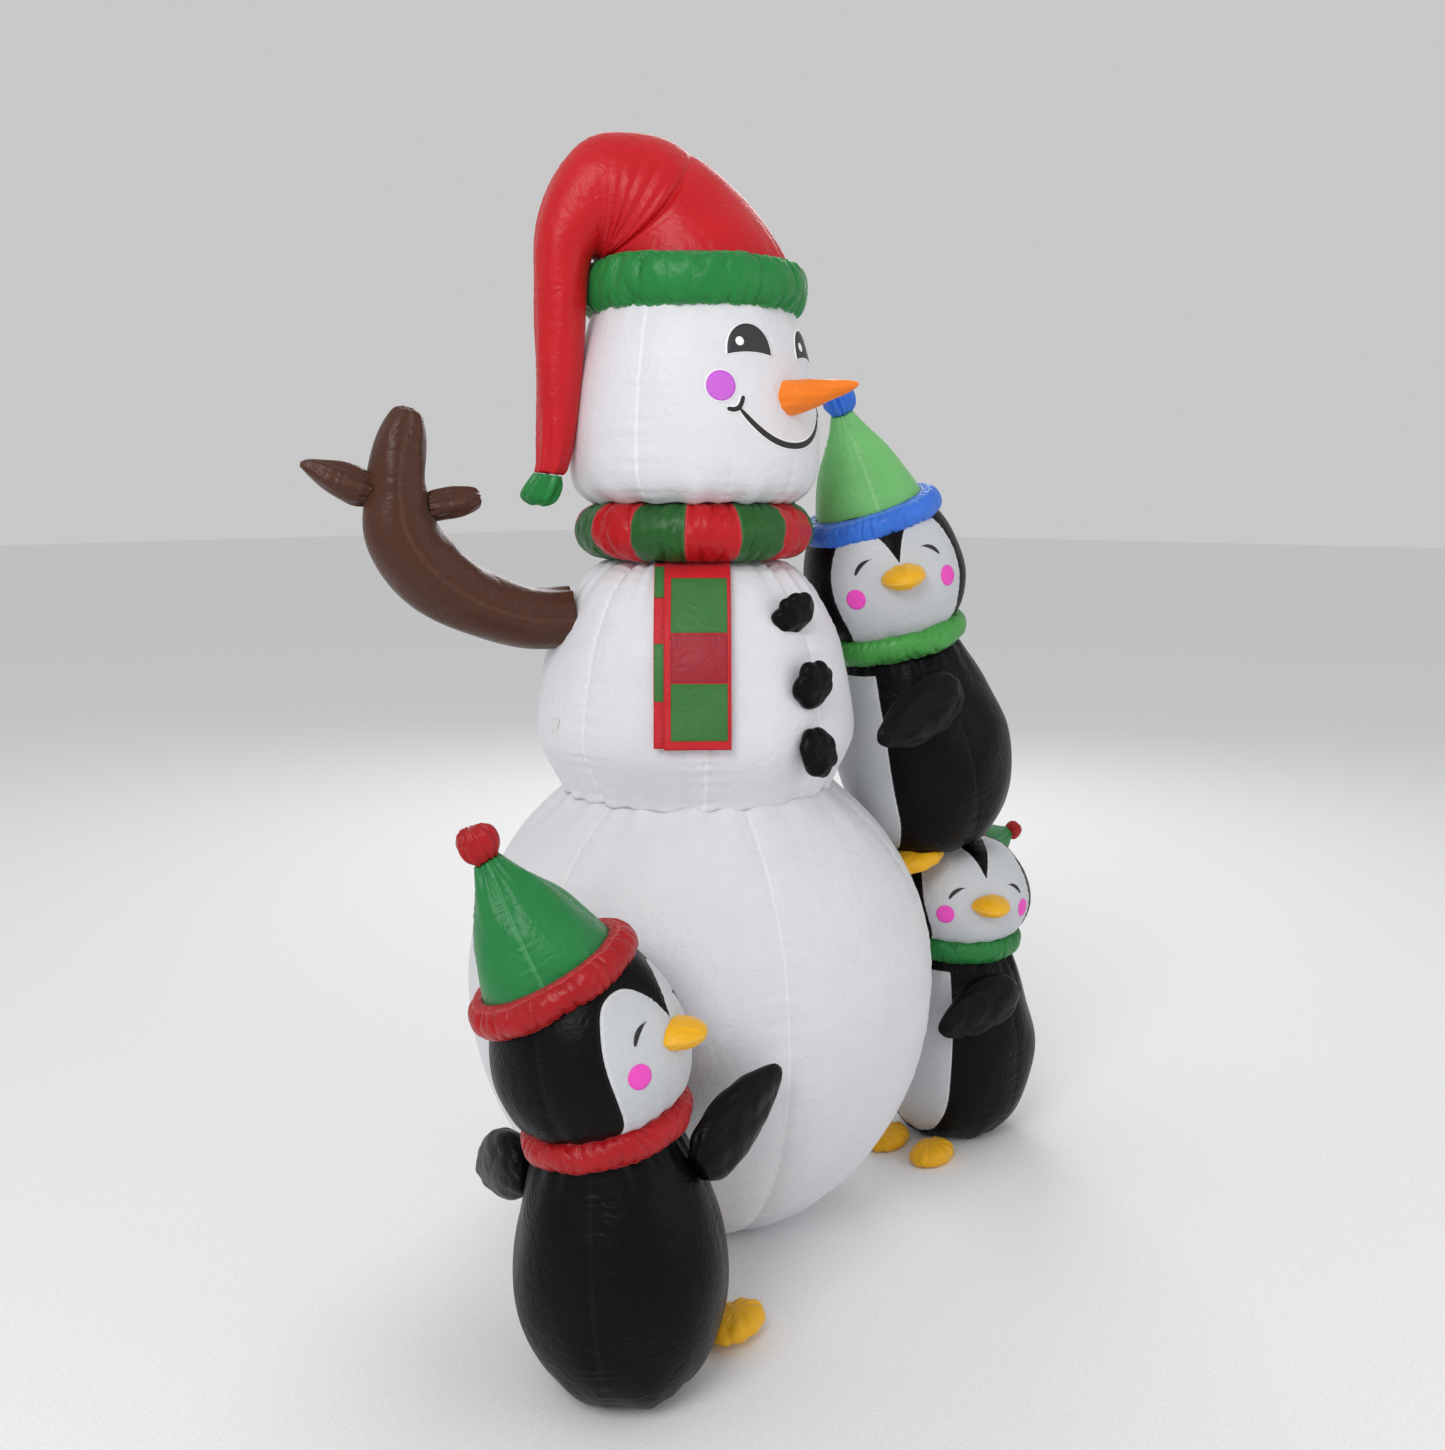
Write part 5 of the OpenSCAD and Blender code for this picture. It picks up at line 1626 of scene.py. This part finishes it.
    def beak(self) -> None:
        """Build the beak: two soft lobes pinched together along a seam that runs round to its tip."""
        t = np.linspace(0, 1, 40)
        k = np.sqrt(np.maximum(1 - t**2, 0.002))
        rows = np.stack([0 * t, 58 * t, 25 * k, 0 * t, 46 * k], 1)
        place = self.head @ shift(165, 0, 150 * self.stance.squash) @ turn("y", 94)
        bag = Puff(rows, place, seams=(90.0, 270.0), folds=(3, 7), depth=0.0018, seed=10 + self.number)
        sheet = bag.cover(46, 96)
        off = bag.off_seam(sheet.marks["angle"], sheet.marks["run"])
        pinch = 1 - 0.35 * np.exp(-off / 0.010)
        local = moved(sheet.points, np.linalg.inv(place))
        local[:, 0] *= pinch
        sheet.points = moved(local, place)
        self.put("beak", sheet, Cloth.YELLOW, "beak_yellow", girth=0.04)

    def flippers(self) -> None:
        """Build both flippers."""
        rows = limb_rows([(0, 0, 30, 20), (30, 0, 56, 30), (95, 0, 66, 33), (170, 0, 54, 26), (236, 0, 25, 14),
                          (254, 0, 8, 6)], 10)
        sheets = []
        for k, (x, twist, rise, z) in enumerate(self.stance.flippers):
            place = self.body @ shift(x, (158, -158)[k], z) @ turn("z", twist) @ turn("y", -rise)
            bag = Puff(rows, place, seams=(0.0, 180.0), folds=(2, 4), depth=0.0028, seed=20 + 2 * self.number + k)
            sheets.append(bag.cover(90, 100))
        self.put("flippers", joined(sheets), Cloth.BLACK, "black_nylon", girth=0.045)

    def feet(self) -> None:
        """Build both feet: flat crumpled ovals."""
        out, twist, drop = self.stance.foot
        p = smooth([(0, 0.72), (4, 0.92), (14, 1.0), (26, 0.92), (36, 0.66), (41, 0.2)], 8)
        rows = np.stack([0 * p[:, 0], p[:, 0], 66 * p[:, 1], 0 * p[:, 0], 46 * p[:, 1]], 1)
        sheets = []
        for k, side in enumerate((-1, 1)):
            place = self.body @ turn("z", twist) @ shift(out, side * 62, drop)
            bag = Puff(rows, place, folds=(3, 6), depth=0.0022, seed=40 + 2 * self.number + k)
            sheets.append(bag.cover(34, 90))
        self.put("feet", joined(sheets), Cloth.YELLOW, "beak_yellow", girth=0.06)


STANCES = (
    Stance((-561, -331, 0), 136, 30, 5, 12, 27, 134, 0.97, 289, 0.96, 1.05, (-21, 25, 270),
           ((-10, 42, -25, 415), (-26, -30, 20, 412)), (202, -33, 0), Cloth.CAP_GREEN, Cloth.TRIM_RED,
           Cloth.TRIM_RED, "hat_green", "trim_red", "trim_red", 36.0),
    Stance((566, -236, 718), 156, 156, 15, 15, 20, 156, 1.02, 228, 0.96, 1.0, (0, 0, 262),
           ((-20, 16, -4, 378), (-10, -70, -4, 372)), (105, 0, -6), Cloth.CAP_LIGHT, Cloth.TRIM_BLUE,
           Cloth.COLLAR_LIGHT, "hat_light_green", "trim_blue", "collar_green"),
    Stance((639, -248, 0), 0, 172, 0, 0, 74, -15, 0.97, 236, 0.76, 0.66, (84, 26, 176),
           ((-20, -4, -8, 385), (-10, -72, -8, 385)), (195, 8, 0), Cloth.CAP_GREEN, Cloth.TRIM_RED,
           Cloth.COLLAR_GREEN, "hat_green", "trim_red", "collar_green"),
)


# ---------------------------------------------------------------- studio


@dataclass
class Studio:
    """A plain pale floor, soft lamps and the camera."""

    eye: tuple[float, float, float] = (-2.1465, -1.8606, 1.51)
    look: tuple[float, float, float] = (0.7555, 0.6342, -0.1650)
    lens_mm: float = 34.51

    def camera(self) -> None:
        """Place the camera."""
        data = bpy.data.cameras.new("camera")
        data.lens, data.sensor_width, data.clip_start = self.lens_mm, 36.0, 0.05
        camera = bpy.data.objects.new("camera", data)
        camera.location = self.eye
        camera.rotation_euler = Vector(self.look).to_track_quat("-Z", "Y").to_euler()
        bpy.context.scene.collection.objects.link(camera)
        bpy.context.scene.camera = camera

    def lamp(self, name: str, place: Sequence[float], size: float, power: float, tint: str = "#FFFFFF") -> None:
        """Add a soft square lamp aimed at the snowman's middle."""
        data = bpy.data.lights.new(name, "AREA")
        data.size, data.energy, data.color = size, power, linear(tint)[:3]
        lamp = bpy.data.objects.new(name, data)
        lamp.location = place
        lamp.rotation_euler = (Vector((0, 0, 1.0)) - Vector(place)).to_track_quat("-Z", "Y").to_euler()
        bpy.context.scene.collection.objects.link(lamp)

    def floor(self) -> None:
        """Lay the floor."""
        corners = [(-40, -40, 0), (40, -40, 0), (40, 40, 0), (-40, 40, 0)]
        mesh = bpy.data.meshes.new("floor")
        mesh.from_pydata(corners, [], [(0, 1, 2, 3)])
        mesh.materials.append(Print("painted studio floor", "#F4F4F5", 0.9).material())
        floor = bpy.data.objects.new("floor", mesh)
        bpy.context.scene.collection.objects.link(floor)

    def make(self) -> None:
        """Set up the whole studio."""
        self.camera()
        self.floor()
        self.lamp("key", (-4.4, -1.6, 4.4), 2.4, 125)
        self.lamp("fill", (1.2, -5.0, 2.4), 3.0, 30)
        self.lamp("rim", (3.6, 2.6, 3.4), 2.4, 70)
        world = bpy.data.worlds.new("studio")
        world.use_nodes = True
        back = world.node_tree.nodes["Background"]
        back.inputs["Color"].default_value = linear("#FFFFFF")
        back.inputs["Strength"].default_value = 0.58
        bpy.context.scene.world = world
        bpy.context.scene.view_settings.view_transform = "Standard"


def main() -> None:
    """Build every sub-assembly in order."""
    logging.basicConfig(level=logging.INFO, format="%(message)s")
    Studio().make()
    for assembly in (LowerBall(), MiddleBall(), Head(), Hat(), Scarf(), Nose(), Arm(), Fittings()):
        assembly.make()
    for number, stance in enumerate(STANCES, 1):
        Penguin(number, stance).make()
    bpy.context.view_layer.update()


if __name__ == "__main__":
    main()
